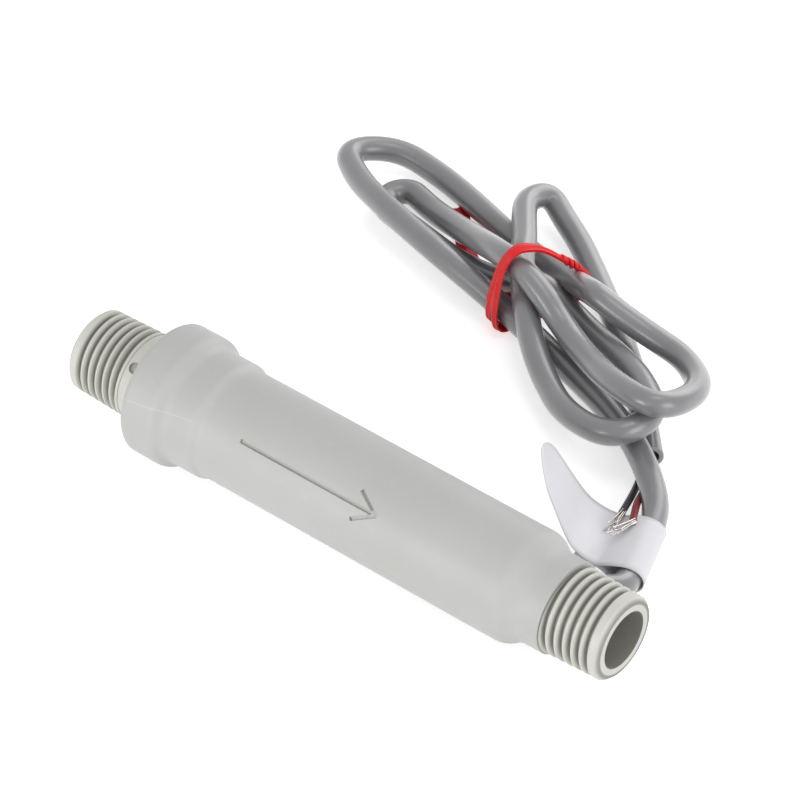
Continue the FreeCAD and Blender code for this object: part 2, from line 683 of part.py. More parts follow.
def lobe(first, first_radius, second, second_radius):
    """Upright prism over the outline round two circles and their outer tangents."""
    start = Vector(first[0], first[1], 0)
    stop = Vector(second[0], second[1], 0)
    along = stop - start
    lean = math.asin((second_radius - first_radius) / along.Length)
    along.normalize()
    across = UP.cross(along)
    left = across * math.cos(lean) - along * math.sin(lean)
    right = across * -math.cos(lean) - along * math.sin(lean)
    corners = [
        start + left * first_radius, stop + left * second_radius,
        stop + right * second_radius, start + right * first_radius,
    ]
    outline = Part.Wire([
        Part.makeLine(corners[0], corners[1]),
        Part.Arc(corners[1], stop + along * second_radius, corners[2]).toShape(),
        Part.makeLine(corners[2], corners[3]),
        Part.Arc(corners[3], start - along * first_radius, corners[0]).toShape(),
    ])
    return Part.Face(outline).extrude(UP * HANK_HEIGHT)


def tie_frame(shape):
    """Place a shape drawn round the tie's own axes at the waist of the hank."""
    shape.rotate(Vector(), UP, TIE_ANGLE)
    shape.translate(Vector(TIE_CENTRE[0], TIE_CENTRE[1], 0))
    return shape


def tie_core(outset):
    """Rounded bar through the waist of the hank, larger by an outset."""
    half = TIE_HALF_SPAN + outset
    low = TIE_THICK - outset
    bar = block((-TIE_WIDTH / 2, TIE_WIDTH / 2), (-half, half), (low, TIE_TOP + outset))
    long_edges = [edge for edge in bar.Edges if abs(edge.tangentAt(edge.FirstParameter).x) > 0.5]
    return tie_frame(bar.makeFillet(TIE_ROUND + outset, long_edges))


def tie_tail():
    """Flat end of the tie that lies on the ground under the hank."""
    points = [Vector(x, y, 0) for x, y in TIE_TAIL_ROUTE]
    tail = None
    for start, stop in zip(points, points[1:]):
        along = stop - start
        along.normalize()
        across = UP.cross(along) * (TIE_TAIL_WIDTH / 2)
        corners = [start - across, stop - across, stop + across, start + across]
        piece = Part.Face(Part.makePolygon(corners + corners[:1])).extrude(UP * TIE_TAIL_THICK)
        elbow = Part.makeCylinder(TIE_TAIL_WIDTH / 2, TIE_TAIL_THICK, start)
        tail = piece.fuse(elbow) if tail is None else tail.fuse([piece, elbow])
    return tail.removeSplitter()


def tie_pigtail():
    """Twisted free ends of the tie beside the hank."""
    half = PIGTAIL_SIDE / 2
    corners = [Vector(0, -half, -half), Vector(0, half, -half), Vector(0, half, half), Vector(0, -half, half)]
    steps = 6
    sections = []
    for step in range(steps + 1):
        section = Part.makePolygon(corners + corners[:1])
        section.rotate(Vector(), FLOW, PIGTAIL_TURN * step / steps)
        section.translate(Vector(PIGTAIL_LENGTH * step / steps, 0, 0))
        sections.append(section)
    pigtail = Part.makeLoft(sections, True, False)
    pigtail.translate(Vector(-TIE_WIDTH / 2, TIE_HALF_SPAN + TIE_THICK + half, PIGTAIL_HEIGHT))
    return tie_frame(pigtail)


def cable_hank():
    """Outer form of the tied loops of cable, with a waist where the tie sits."""
    hank = lobe(TIE_CENTRE, WAIST_RADIUS, OUTLET_LOBE_CENTRE, OUTLET_LOBE_RADIUS)
    hank = hank.fuse(lobe(INLET_LOBE_CENTRE, INLET_LOBE_RADIUS, TIE_CENTRE, WAIST_RADIUS))
    tip = INLET_LOBE_CENTRE[0] - INLET_LOBE_RADIUS
    stop = OUTLET_LOBE_CENTRE[0] + OUTLET_LOBE_RADIUS
    side = [(tip, 0), (stop, 0), (stop, HANK_HEIGHT), (TIE_CENTRE[0], HANK_HEIGHT), (tip, HANK_TIP_HEIGHT)]
    corners = [Vector(x, 0, z) for x, z in side]
    depth = Vector(0, INLET_LOBE_CENTRE[1] + 2 * INLET_LOBE_RADIUS, 0)
    hank = hank.common(Part.Face(Part.makePolygon(corners + corners[:1])).extrude(depth))
    span = WAIST_RADIUS + OUTLET_LOBE_RADIUS
    gap = tie_frame(block((-TIE_WIDTH / 2, TIE_WIDTH / 2), (-span, span), (0, HANK_HEIGHT)))
    hank = hank.cut(gap).fuse(tie_core(0.0))
    return hank.cut([tie_tail(), tie_pigtail()]).removeSplitter()


def twist_tie():
    """Ribbon tie: band round the hank, twisted ends and a flat tail."""
    band = tie_core(TIE_THICK).cut(tie_core(0.0))
    return band.fuse([tie_pigtail(), tie_tail()]).removeSplitter()


def label_frame(shape):
    """Place a shape drawn round the sleeve axis at the label's place on the cable."""
    shape.rotate(Vector(), UP, LABEL_TURN)
    shape.translate(Vector(*LABEL_CENTRE))
    return shape


def flag_section(run, height, tilt, share):
    """Thin cross-strip of the flag at one station."""
    half = LABEL_WIDTH * share / 2
    thin = LABEL_THICK / 2
    corners = [Vector(-half, 0, -thin), Vector(half, 0, -thin), Vector(half, 0, thin), Vector(-half, 0, thin)]
    section = Part.makePolygon(corners + corners[:1])
    section.rotate(Vector(), Vector(0, 1, 0), tilt)
    section.translate(Vector(0, run, height))
    return section


def cable_label():
    """Blank flag label wrapped round the cable, with its flag curling up."""
    half = LABEL_WIDTH / 2
    sleeve = Part.makeCylinder(LABEL_SLEEVE_RADIUS + LABEL_THICK, LABEL_WIDTH, Vector(-half, 0, 0), FLOW)
    hollow = Part.makeCylinder(LABEL_SLEEVE_RADIUS, LABEL_WIDTH, Vector(-half, 0, 0), FLOW)
    sections = [flag_section(*station) for station in FLAG_STATIONS]
    sections.append(flag_section(*FLAG_TIP, LABEL_TIP_WIDTH / LABEL_WIDTH))
    flag = Part.makeLoft(sections, True, False)
    return label_frame(sleeve.fuse(flag).cut(hollow))


def strand_fan(route, aim, conductor):
    """Bare copper strands, side by side, that fan out of the end of a conductor."""
    axis = Vector(*aim)
    axis.normalize()
    sideways = UP.cross(axis)
    sideways.normalize()
    start = Vector(*route[-1]) - axis * STRAND_ROOT
    strands = []
    for index in range(STRAND_COUNT):
        step = index - (STRAND_COUNT - 1) / 2
        direction = axis + sideways * math.tan(math.radians(STRAND_FAN * step))
        root = start + sideways * (STRAND_SPACING * step)
        strands.append(Part.makeCylinder(STRAND_DIA / 2, STRAND_ROOT + STRAND_LENGTH, root, direction))
    return Part.makeCompound(strands).cut(conductor)


def place(shape, angle=0.0):
    """Turn a piece about the flow axis and lift it to the axis height."""
    moved = turned(shape, angle)
    moved.translate(Vector(0, 0, AXIS_HEIGHT))
    return moved


def tube_pieces():
    """Pieces that share the flow axis."""
    return {
        "flow_tube": place(flow_tube()),
        "inlet_fitting": place(inlet_fitting()),
        "outer_jacket": place(outer_jacket()),
        "inlet_seal": place(inlet_seal()),
        "piston_body": place(piston_body()),
        "piston_magnet": place(piston_magnet()),
        "piston_cap": place(piston_cap()),
        "return_spring": place(return_spring()),
    }


def switch_pieces():
    """Reed switch, its wiring and potting, and the cable gland."""
    black_route, red_route = conductor_routes()
    black = round_tube("switch_conductor_black", black_route, CONDUCTOR_DIA)
    red = round_tube("switch_conductor_red", red_route, CONDUCTOR_DIA)
    fixed = reed_blade_fixed()
    inlet_lead = reed_lead_inlet()
    glass = cylinder(GLASS_START, GLASS_STOP, GLASS_RADIUS, -REED_SIDE, REED_RADIAL)
    crimp_inlet = lead_crimp(INLET_CRIMP, inlet_lead)
    crimp_outlet = lead_crimp(OUTLET_CRIMP, fixed)
    buried = [glass, fixed, inlet_lead, crimp_inlet, crimp_outlet, black, red]
    pieces = {
        "reed_capsule": reed_capsule(),
        "reed_blade_fixed": fixed,
        "reed_lead_inlet": inlet_lead,
        "reed_blade_moving": reed_blade_moving(),
        "lead_crimp_inlet": crimp_inlet,
        "lead_crimp_outlet": crimp_outlet,
        "switch_conductor_black": black,
        "switch_conductor_red": red,
        "reed_potting": reed_pocket().cut(buried),
        "cable_gland": cable_gland([black, red]),
    }
    return {name: place(shape, REED_TURN) for name, shape in pieces.items()}


def cord_pieces():
    """Cable, tie, label and the stripped ends, where they lie on the ground."""
    hank = cable_hank()
    lead = round_tube("cable_lead", LEAD_ROUTE, CABLE_DIA).cut(hank)
    bight = round_tube("cable_bight", BIGHT_ROUTE, CABLE_DIA).cut(hank)
    black = round_tube("tail_black", BLACK_TAIL_ROUTE, TAIL_CONDUCTOR_DIA).cut(hank)
    red = round_tube("tail_red", RED_TAIL_ROUTE, TAIL_CONDUCTOR_DIA).cut(hank)
    return {
        "cable_lead": lead,
        "cable_hank": hank,
        "cable_bight": bight,
        "twist_tie": twist_tie(),
        "cable_label": cable_label(),
        "tail_conductor_black": black,
        "tail_conductor_red": red,
        "tail_strands_black": strand_fan(BLACK_TAIL_ROUTE, BLACK_STRAND_AIM, black),
        "tail_strands_red": strand_fan(RED_TAIL_ROUTE, RED_STRAND_AIM, red),
    }


def main():
    """Build every piece and write one file per node."""
    os.makedirs("parts", exist_ok=True)
    for name, shape in {**tube_pieces(), **switch_pieces(), **cord_pieces()}.items():
        print(f"{name}: {len(shape.Solids)} solid, volume {shape.Volume:.2f}, valid {shape.isValid()}")
        shape.exportStep(f"parts/{name}.step")


main()
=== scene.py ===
"""Looks of an inline piston flow switch with its tied two-core cable."""

import logging
import math
from dataclasses import dataclass
from enum import Enum

import bmesh
import bpy
from mathutils import Matrix, Vector


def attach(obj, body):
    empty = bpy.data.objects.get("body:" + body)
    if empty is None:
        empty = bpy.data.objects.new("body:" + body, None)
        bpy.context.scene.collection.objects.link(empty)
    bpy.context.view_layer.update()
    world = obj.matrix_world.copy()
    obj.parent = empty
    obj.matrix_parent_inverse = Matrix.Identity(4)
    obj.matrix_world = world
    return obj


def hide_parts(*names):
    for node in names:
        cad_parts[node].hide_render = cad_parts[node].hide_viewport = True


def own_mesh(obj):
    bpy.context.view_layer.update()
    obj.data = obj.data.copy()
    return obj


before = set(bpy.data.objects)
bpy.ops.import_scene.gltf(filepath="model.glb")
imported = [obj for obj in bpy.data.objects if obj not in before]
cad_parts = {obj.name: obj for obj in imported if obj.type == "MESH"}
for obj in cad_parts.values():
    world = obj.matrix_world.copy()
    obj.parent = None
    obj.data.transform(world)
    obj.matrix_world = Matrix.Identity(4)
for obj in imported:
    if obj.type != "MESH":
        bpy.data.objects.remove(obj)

# Lengths are in millimetres, except in the finishes.
MM = 0.001
AXIS_HEIGHT = 10.45
WELD_DISTANCE = 0.005
LINE_ORDER = 3
LINE_STEPS = 10
HOUSING = "housing"
UP = Vector((0.0, 0.0, 1.0))
LOG = logging.getLogger("flow_switch")
Point = tuple[float, float, float]
Outline = tuple[tuple[float, float], ...]
Colour = tuple[float, float, float]
Span = tuple[float, float]
Socket = bpy.types.NodeSocket
Piece = bpy.types.Object


class Slot(Enum):
    """Material slots of the record that the new pieces stand for."""

    JACKET = "jacket_grey"
    CABLE = "cable_grey"
    TIE = "tie_red"
    LABEL = "label_white"
    RED = "insulation_red"
    BLACK = "insulation_black"
    COPPER = "tinned_copper"
    SPRING = "spring_steel"


class NodeGraph:
    """Adds and joins the nodes of one shader tree."""

    def __init__(self, tree: bpy.types.NodeTree) -> None:
        """Keep the tree that the nodes go into."""
        self.tree = tree

    def add(self, kind: str, sockets: dict | None = None, **settings: object) -> bpy.types.Node:
        """Add a node, set its options and fill its sockets.

        Args:
            kind: Node type.
            sockets: Socket name or number, with a constant or an output socket to link.
            settings: Node options by attribute name.

        Returns:
            The new node.
        """
        node = self.tree.nodes.new(kind)
        for name, value in settings.items():
            setattr(node, name, value)
        for name, value in (sockets or {}).items():
            if isinstance(value, Socket):
                self.link(value, node.inputs[name])
            else:
                node.inputs[name].default_value = value
        return node

    def maths(self, operation: str, first: object, second: object = 0.0, third: float = 0.0) -> Socket:
        """Combine up to three values with one Math node and return its output."""
        return self.add("ShaderNodeMath", {0: first, 1: second, 2: third}, operation=operation).outputs[0]

    def times(self, value: object, *factors: object) -> Socket:
        """Multiply values.

        Args:
            value: First number or socket.
            factors: Numbers or sockets to multiply it by.

        Returns:
            Socket of the product.
        """
        for factor in factors:
            value = self.maths("MULTIPLY", value, factor)
        return value

    def link(self, source: Socket, target: Socket) -> None:
        """Join an output socket to an input socket."""
        self.tree.links.new(source, target)

    def ease(self, value: Socket, low: float, high: float) -> Socket:
        """Turn a value into a mask that rises smoothly from 0 at low to 1 at high."""
        sockets = {"Value": value, "From Min": low, "From Max": high}
        return self.add("ShaderNodeMapRange", sockets, interpolation_type="SMOOTHSTEP").outputs[0]

    def blend(self, mask: Socket, first: object, second: object) -> Socket:
        """Mix two colours.

        Args:
            mask: Mask, 0 for the first colour and 1 for the second.
            first: First colour or its socket.
            second: Second colour or its socket.

        Returns:
            Socket of the mixed colour.
        """
        mix = self.add("ShaderNodeMix", data_type="RGBA")
        for socket, value in zip((mix.inputs[0], mix.inputs[6], mix.inputs[7]), (mask, first, second)):
            if isinstance(value, Socket):
                self.link(value, socket)
            else:
                socket.default_value = (*value, 1.0)
        return mix.outputs[2]


class SurfaceGroups:
    """Node groups that several finishes share, each built once."""

    speck_range = (0.66, 0.76)
    tarnish_range = (0.42, 0.7)
    line_stretch = (0.08, 1.0, 1.0)

    @staticmethod
    def start(name: str, numbers: dict[str, float], outputs: tuple[str, ...]) -> tuple:
        """Make an empty group that takes coordinates and named numbers.

        Args:
            name: Name of the group.
            numbers: Number inputs with their defaults.
            outputs: Names of the value outputs.

        Returns:
            The group, its graph, its input node and its output node.
        """
        tree = bpy.data.node_groups.new(name, "ShaderNodeTree")
        tree.interface.new_socket("Coordinates", in_out="INPUT", socket_type="NodeSocketVector")
        for label, default in numbers.items():
            socket = tree.interface.new_socket(label, in_out="INPUT", socket_type="NodeSocketFloat")
            socket.default_value = default
        for label in outputs:
            tree.interface.new_socket(label, in_out="OUTPUT", socket_type="NodeSocketFloat")
        graph = NodeGraph(tree)
        return tree, graph, graph.add("NodeGroupInput"), graph.add("NodeGroupOutput")

    @classmethod
    def moulded_grain(cls) -> bpy.types.NodeTree:
        """Fine grain, broad mottling and sparse specks of a moulded or extruded surface.

        Returns:
            The group, with outputs Grain, Mottle and Specks.
        """
        found = bpy.data.node_groups.get("moulded_grain")
        if found:
            return found
        numbers = {"Grain Scale": 4000.0, "Mottle Scale": 90.0, "Speck Scale": 700.0}
        tree, graph, entry, leave = cls.start("moulded_grain", numbers, ("Grain", "Mottle", "Specks"))
        place = entry.outputs["Coordinates"]
        grain = graph.add("ShaderNodeTexNoise", {
            "Vector": place, "Scale": entry.outputs["Grain Scale"], "Detail": 3.0, "Roughness": 0.6})
        mottle = graph.add("ShaderNodeTexNoise", {
            "Vector": place, "Scale": entry.outputs["Mottle Scale"], "Detail": 4.0, "Roughness": 0.55})
        speck = graph.add("ShaderNodeTexNoise", {
            "Vector": place, "Scale": entry.outputs["Speck Scale"], "Detail": 1.0})
        graph.link(grain.outputs[0], leave.inputs["Grain"])
        graph.link(mottle.outputs[0], leave.inputs["Mottle"])
        graph.link(graph.ease(speck.outputs[0], *cls.speck_range), leave.inputs["Specks"])
        return tree

    @classmethod
    def drawn_lines(cls) -> bpy.types.NodeTree:
        """Fine lines of drawn wire and turned metal, long in X.

        Returns:
            The group, with outputs Lines and Tarnish.
        """
        found = bpy.data.node_groups.get("drawn_lines")
        if found:
            return found
        tree, graph, entry, leave = cls.start("drawn_lines", {"Line Scale": 6000.0}, ("Lines", "Tarnish"))
        place = entry.outputs["Coordinates"]
        stretched = graph.add("ShaderNodeVectorMath", {0: place, 1: cls.line_stretch}, operation="MULTIPLY")
        lines = graph.add("ShaderNodeTexNoise", {
            "Vector": stretched.outputs[0], "Scale": entry.outputs["Line Scale"], "Detail": 4.0})
        tarnish = graph.add("ShaderNodeTexNoise", {
            "Vector": place, "Scale": 900.0, "Detail": 3.0})
        graph.link(lines.outputs[0], leave.inputs["Lines"])
        graph.link(graph.ease(tarnish.outputs[0], *cls.tarnish_range), leave.inputs["Tarnish"])
        return tree


@dataclass(frozen=True)
class Finish:
    """Moulded, extruded or coated finish with mottling, specks and a grain bump.

    Lengths are in metres, as the shader's coordinates are.
    """

    name: str
    colour: Colour
    shade: Colour
    speck: Colour = (0.6, 0.6, 0.6)
    roughness: float = 0.45
    roughness_spread: float = 0.12
    grain_scale: float = 4000.0
    mottle_scale: float = 90.0
    mottle_range: Span = (0.3, 0.7)
    speck_scale: float = 700.0
    speck_share: float = 0.25
    bump_strength: float = 0.25
    bump_depth: float = 0.00004
    specular: float = 0.5
    coat: float = 0.0
    coat_roughness: float = 0.2
    subsurface: float = 0.0
    subsurface_radius: Colour = (1.0, 0.9, 0.8)
    subsurface_scale: float = 0.0006

    def material(self) -> bpy.types.Material:
        """Give this finish's material, built the first time it is asked for.

        Returns:
            The material.
        """
        found = bpy.data.materials.get(self.name)
        if found:
            return found
        material = bpy.data.materials.new(self.name)
        material.use_nodes = True
        graph = NodeGraph(material.node_tree)
        shader = material.node_tree.nodes["Principled BSDF"]
        place = graph.add("ShaderNodeTexCoord").outputs["Object"]
        self.paint(graph, shader, place)
        return material

    def paint(self, graph: NodeGraph, shader: bpy.types.Node, place: Socket) -> None:
        """Fill the shader's sockets.

        Args:
            graph: Graph of the material.
            shader: The material's principled shader.
            place: Object coordinates.
        """
        sockets = {"Coordinates": place, "Grain Scale": self.grain_scale, "Mottle Scale": self.mottle_scale,
                   "Speck Scale": self.speck_scale}
        group = graph.add("ShaderNodeGroup", sockets, node_tree=SurfaceGroups.moulded_grain())
        mottle = graph.ease(group.outputs["Mottle"], *self.mottle_range)
        ground = graph.blend(mottle, self.colour, self.shade)
        specks = graph.times(group.outputs["Specks"], self.speck_share)
        colour = graph.blend(specks, ground, self.speck)
        height = self.height(graph, place, group.outputs["Grain"])
        self.finish_colour(graph, shader, place, colour)
        self.texture(graph, shader, group.outputs["Mottle"], height)
        shader.inputs["Specular IOR Level"].default_value = self.specular
        shader.inputs["Coat Weight"].default_value = self.coat
        shader.inputs["Coat Roughness"].default_value = self.coat_roughness
        if self.subsurface:
            shader.inputs["Subsurface Weight"].default_value = self.subsurface
            shader.inputs["Subsurface Radius"].default_value = self.subsurface_radius
            shader.inputs["Subsurface Scale"].default_value = self.subsurface_scale

    def texture(self, graph: NodeGraph, shader: bpy.types.Node, spread: Socket, height: Socket) -> None:
        """Let one texture vary the roughness and another one raise the surface.

        Args:
            graph: Graph of the material.
            shader: The material's principled shader.
            spread: Texture that the roughness follows.
            height: Texture that the bump follows.
        """
        least = self.roughness - self.roughness_spread / 2
        rough = graph.maths("MULTIPLY_ADD", spread, self.roughness_spread, least)
        graph.link(rough, shader.inputs["Roughness"])
        bump = graph.add("ShaderNodeBump", {
            "Strength": self.bump_strength, "Distance": self.bump_depth, "Height": height})
        graph.link(bump.outputs[0], shader.inputs["Normal"])

    def height(self, graph: NodeGraph, place: Socket, grain: Socket) -> Socket:
        """Return the height that the bump follows: the grain alone."""
        return grain

    def finish_colour(self, graph: NodeGraph, shader: bpy.types.Node, place: Socket, colour: Socket) -> None:
        """Send the colour to the shader."""
        graph.link(colour, shader.inputs["Base Color"])

    def dress(self, piece: Piece) -> None:
        """Put this finish on a new piece or, through its slots, on a CAD node.

        Args:
            piece: The piece or the CAD node.
        """
        material = self.material()
        if not piece.material_slots:
            piece.data.materials.append(material)
        for slot in piece.material_slots:
            slot.link = "OBJECT"
            slot.material = material


@dataclass(frozen=True)
class JacketFinish(Finish):
    """Jacket moulding with the flash line where the two halves of its mould met, and a painted highlight
    along it.
    """

    flash_angle: float = 30.0
    flash_start: float = -0.0345
    flash_stop: float = -0.0215
    flash_width: float = 0.00014
    flash_core: float = 0.3
    flash_slope: float = 0.145
    flash_front: Span = (-0.002, -0.004)
    fade_in: float = 0.001
    fade_out: float = 0.002
    flash_rise: float = 3.0
    # Painted highlight along the flash line: its share and its paler colour.
    flash_highlight_share: float = 0.3
    flash_highlight_colour: Colour = (0.80, 0.80, 0.785)

    def flash_line(self, graph: NodeGraph, place: Socket) -> Socket:
        """Mask the flash line of the collar.

        Args:
            graph: Graph of the material.
            place: Object coordinates.

        Returns:
            Mask socket, 1 on the line.
        """
        split = graph.add("ShaderNodeSeparateXYZ", {0: place})
        turn = math.radians(self.flash_angle)
        side = graph.times(split.outputs[1], math.sin(turn))
        rise = graph.maths("SUBTRACT", split.outputs[2], AXIS_HEIGHT * MM)
        lift = graph.times(rise, math.cos(turn))
        middle = (self.flash_start + self.flash_stop) / 2
        climb = graph.times(graph.maths("SUBTRACT", split.outputs[0], middle), self.flash_slope)
        across = graph.maths("ABSOLUTE", graph.maths("SUBTRACT", graph.maths("ADD", side, lift), climb))
        thin = graph.ease(across, self.flash_width, self.flash_width * self.flash_core)
        front = graph.ease(split.outputs[1], *self.flash_front)
        begin = graph.ease(split.outputs[0], self.flash_start, self.flash_start + self.fade_in)
        end = graph.ease(split.outputs[0], self.flash_stop, self.flash_stop - self.fade_out)
        return graph.times(thin, front, begin, end)

    def height(self, graph: NodeGraph, place: Socket, grain: Socket) -> Socket:
        """Return the grain with the flash line standing out of it."""
        flash = graph.times(self.flash_line(graph, place), self.flash_rise)
        return graph.maths("ADD", grain, flash)

    def finish_colour(self, graph: NodeGraph, shader: bpy.types.Node, place: Socket, colour: Socket) -> None:
        """Send the colour to the shader, paler along the flash line as a painted highlight."""
        # Painted highlight: the colour turns paler along the flash line.
        painted_highlight = graph.times(self.flash_line(graph, place), self.flash_highlight_share)
        super().finish_colour(graph, shader, place, graph.blend(painted_highlight, colour, self.flash_highlight_colour))


@dataclass(frozen=True)
class ThreadFinish(Finish):
    """Pipe end moulding with painted shade darkening its thread grooves, the neck's sunk ring and gate mark,
    and the inside of the tube.
    """

    # Painted shade: colour and share that darken the thread grooves and the neck's sunk ring and gate mark.
    groove_shade: Colour = (0.20, 0.195, 0.17)
    groove_shade_share: float = 0.85
    # Painted shade: colour of the inner wall of the tube, standing in for its shadow.
    bore_shade: Colour = (0.36, 0.355, 0.32)
    body_middle: float = 0.0005
    mouth: float = 0.0478
    small_radius: float = 0.00654
    bore_radius: float = 0.00448
    taper: float = 1 / 32
    neck_radius: float = 0.0069
    neck_start: float = 0.035
    thread_start: float = 0.039
    groove_depths: Span = (0.00008, 0.0007)
    groove_floor: Span = (0.0012, 0.0009)
    neck_depths: Span = (0.00005, 0.00035)
    neck_floor: Span = (0.0014, 0.0011)
    # Share of the painted shade in the neck's sunk ring and gate mark.
    neck_shade_share: float = 0.6
    edge: float = 0.0002

    def shade_masks(self, graph: NodeGraph, place: Socket) -> tuple[Socket, ...]:
        """Mask the painted shade in the grooves of thread and neck, and on the inner wall of the tube.

        Args:
            graph: Graph of the material.
            place: Object coordinates.

        Returns:
            Groove mask and bore mask.
        """
        split = graph.add("ShaderNodeSeparateXYZ", {0: place})
        rise = graph.maths("SUBTRACT", split.outputs[2], AXIS_HEIGHT * MM)
        flat = graph.add("ShaderNodeCombineXYZ", {1: split.outputs[1], 2: rise})
        radius = graph.add("ShaderNodeVectorMath", {0: flat.outputs[0]}, operation="LENGTH").outputs["Value"]
        reach = graph.maths("ABSOLUTE", graph.maths("SUBTRACT", split.outputs[0], self.body_middle))
        inward = graph.times(graph.maths("SUBTRACT", self.mouth, reach), self.taper)
        depth = graph.maths("SUBTRACT", graph.maths("ADD", inward, self.small_radius), radius)
        # Painted shade on the inner wall of the tube.
        inner = graph.ease(radius, self.bore_radius + self.edge / 2, self.bore_radius)
        # Painted shade in the thread grooves.
        sunk = graph.ease(depth, *self.groove_depths)
        outside = graph.ease(depth, *self.groove_floor)
        threaded = graph.ease(reach, self.thread_start - self.edge, self.thread_start + self.edge)
        groove_shade = graph.times(sunk, outside, threaded)
        # Painted shade in the neck's sunk ring and gate mark.
        hollow = graph.maths("SUBTRACT", self.neck_radius, radius)
        cut = graph.ease(hollow, *self.neck_depths)
        above = graph.ease(hollow, *self.neck_floor)
        begin = graph.ease(reach, self.neck_start - self.edge / 2, self.neck_start)
        end = graph.ease(reach, self.thread_start, self.thread_start - self.edge)
        neck_shade = graph.times(cut, above, begin, end, self.neck_shade_share)
        return graph.maths("MAXIMUM", groove_shade, neck_shade), inner

    def finish_colour(self, graph: NodeGraph, shader: bpy.types.Node, place: Socket, colour: Socket) -> None:
        """Send the colour to the shader, darkened by painted shade in the grooves and on the inner wall.

        Args:
            graph: Graph of the material.
            shader: The material's principled shader.
            place: Object coordinates.
            colour: Socket of the colour.
        """
        # Painted shade: darker in the grooves and on the inner wall of the tube.
        groove_shade, inner = self.shade_masks(graph, place)
        mask = graph.times(groove_shade, self.groove_shade_share)
        groove_shaded = graph.blend(mask, colour, self.groove_shade)
        super().finish_colour(graph, shader, place, graph.blend(inner, groove_shaded, self.bore_shade))


@dataclass(frozen=True)
class MetalFinish(Finish):
    """Drawn or turned metal with fine lines and uneven tarnish."""

    roughness_spread: float = 0.2
    bump_depth: float = 0.00001
    line_scale: float = 6000.0

    def paint(self, graph: NodeGraph, shader: bpy.types.Node, place: Socket) -> None:
        """Fill the shader's sockets for bare metal.

        Args:
            graph: Graph of the material.
            shader: The material's principled shader.
            place: Object coordinates.
        """
        sockets = {"Coordinates": place, "Line Scale": self.line_scale}
        group = graph.add("ShaderNodeGroup", sockets, node_tree=SurfaceGroups.drawn_lines())
        colour = graph.blend(group.outputs["Tarnish"], self.colour, self.shade)
        self.finish_colour(graph, shader, place, colour)
        self.texture(graph, shader, group.outputs["Lines"], group.outputs["Lines"])
        shader.inputs["Metallic"].default_value = 1.0


@dataclass(frozen=True)
class GlassFinish(Finish):
    """Thin tinted glass of the reed switch."""

    index: float = 1.5

    def paint(self, graph: NodeGraph, shader: bpy.types.Node, place: Socket) -> None:
        """Fill the shader's sockets, with plain transmission.

        Args:
            graph: Graph of the material.
            shader: The material's principled shader.
            place: Object coordinates.
        """
        super().paint(graph, shader, place)
        shader.inputs["Transmission Weight"].default_value = 1.0
        shader.inputs["IOR"].default_value = self.index


JACKET = JacketFinish(
    "jacket_moulding", (0.580, 0.585, 0.567), (0.555, 0.560, 0.540), (0.620, 0.622, 0.606),
    roughness=0.5, grain_scale=2600.0, mottle_scale=60.0, bump_strength=0.18, specular=0.42, subsurface=0.06)
THREAD = ThreadFinish(
    "thread_moulding", (0.710, 0.706, 0.650), (0.680, 0.675, 0.616), (0.740, 0.736, 0.690),
    roughness=0.46, grain_scale=3200.0, mottle_scale=140.0, bump_strength=0.2, specular=0.45, subsurface=0.06)
CABLE = Finish(
    "cable_jacket_vinyl", (0.222, 0.220, 0.232), (0.200, 0.198, 0.210), (0.290, 0.288, 0.300),
    roughness=0.34, grain_scale=2600.0, mottle_scale=120.0, bump_strength=0.15, specular=0.6, coat=1.0,
    coat_roughness=0.3)
# Cut core: the conductors' dark red, deepened by painted shade inside the cut.
SHADED_CUT_CORE = Finish(
    "cut_cable_core_shaded", (0.090, 0.020, 0.022), (0.040, 0.018, 0.020), (0.160, 0.060, 0.060),
    roughness=0.6, grain_scale=2600.0, mottle_scale=500.0, bump_strength=0.4)
TIE = Finish(
    "tie_ribbon_red", (0.900, 0.022, 0.024), (0.780, 0.016, 0.019), (0.920, 0.080, 0.082),
    roughness=0.48, grain_scale=2200.0, mottle_scale=260.0, specular=0.35, subsurface=0.05)
LABEL = Finish(
    "label_film_white", (0.840, 0.840, 0.875), (0.820, 0.820, 0.856), (0.760, 0.760, 0.800),
    roughness=0.4, grain_scale=1800.0, mottle_scale=110.0, speck_share=0.12, bump_strength=0.12,
    specular=0.45)
RED_SKIN = Finish(
    "insulation_red_vinyl", (0.250, 0.010, 0.017), (0.200, 0.008, 0.013), (0.340, 0.040, 0.048),
    roughness=0.38, grain_scale=3000.0, mottle_scale=300.0)
BLACK_SKIN = Finish(
    "insulation_black_vinyl", (0.018, 0.018, 0.019), (0.012, 0.012, 0.013), (0.060, 0.060, 0.062),
    roughness=0.4, grain_scale=3000.0, mottle_scale=300.0)
PISTON = Finish(
    "piston_resin", (0.720, 0.715, 0.690), (0.690, 0.684, 0.655), (0.760, 0.756, 0.735),
    roughness=0.36, grain_scale=3400.0, mottle_scale=160.0)
MAGNET = Finish(
    "magnet_ferrite", (0.045, 0.045, 0.048), (0.030, 0.030, 0.033), (0.120, 0.120, 0.124),
    roughness=0.55, grain_scale=5200.0, mottle_scale=420.0, bump_strength=0.5)
SEAL = Finish(
    "seal_rubber", (0.022, 0.022, 0.022), (0.016, 0.016, 0.016), (0.060, 0.060, 0.058),
    roughness=0.62, grain_scale=4200.0, mottle_scale=380.0, bump_strength=0.35)
POTTING = Finish(
    "potting_compound", (0.035, 0.036, 0.040), (0.024, 0.025, 0.028), (0.090, 0.090, 0.096),
    roughness=0.5, grain_scale=3600.0, mottle_scale=260.0)
SPRING = MetalFinish(
    "spring_wire_steel", (0.560, 0.555, 0.545), (0.430, 0.420, 0.405),
    roughness=0.3, bump_strength=0.2)
ALLOY = MetalFinish(
    "reed_alloy_plate", (0.640, 0.610, 0.560), (0.520, 0.490, 0.440),
    roughness=0.28, bump_strength=0.15)
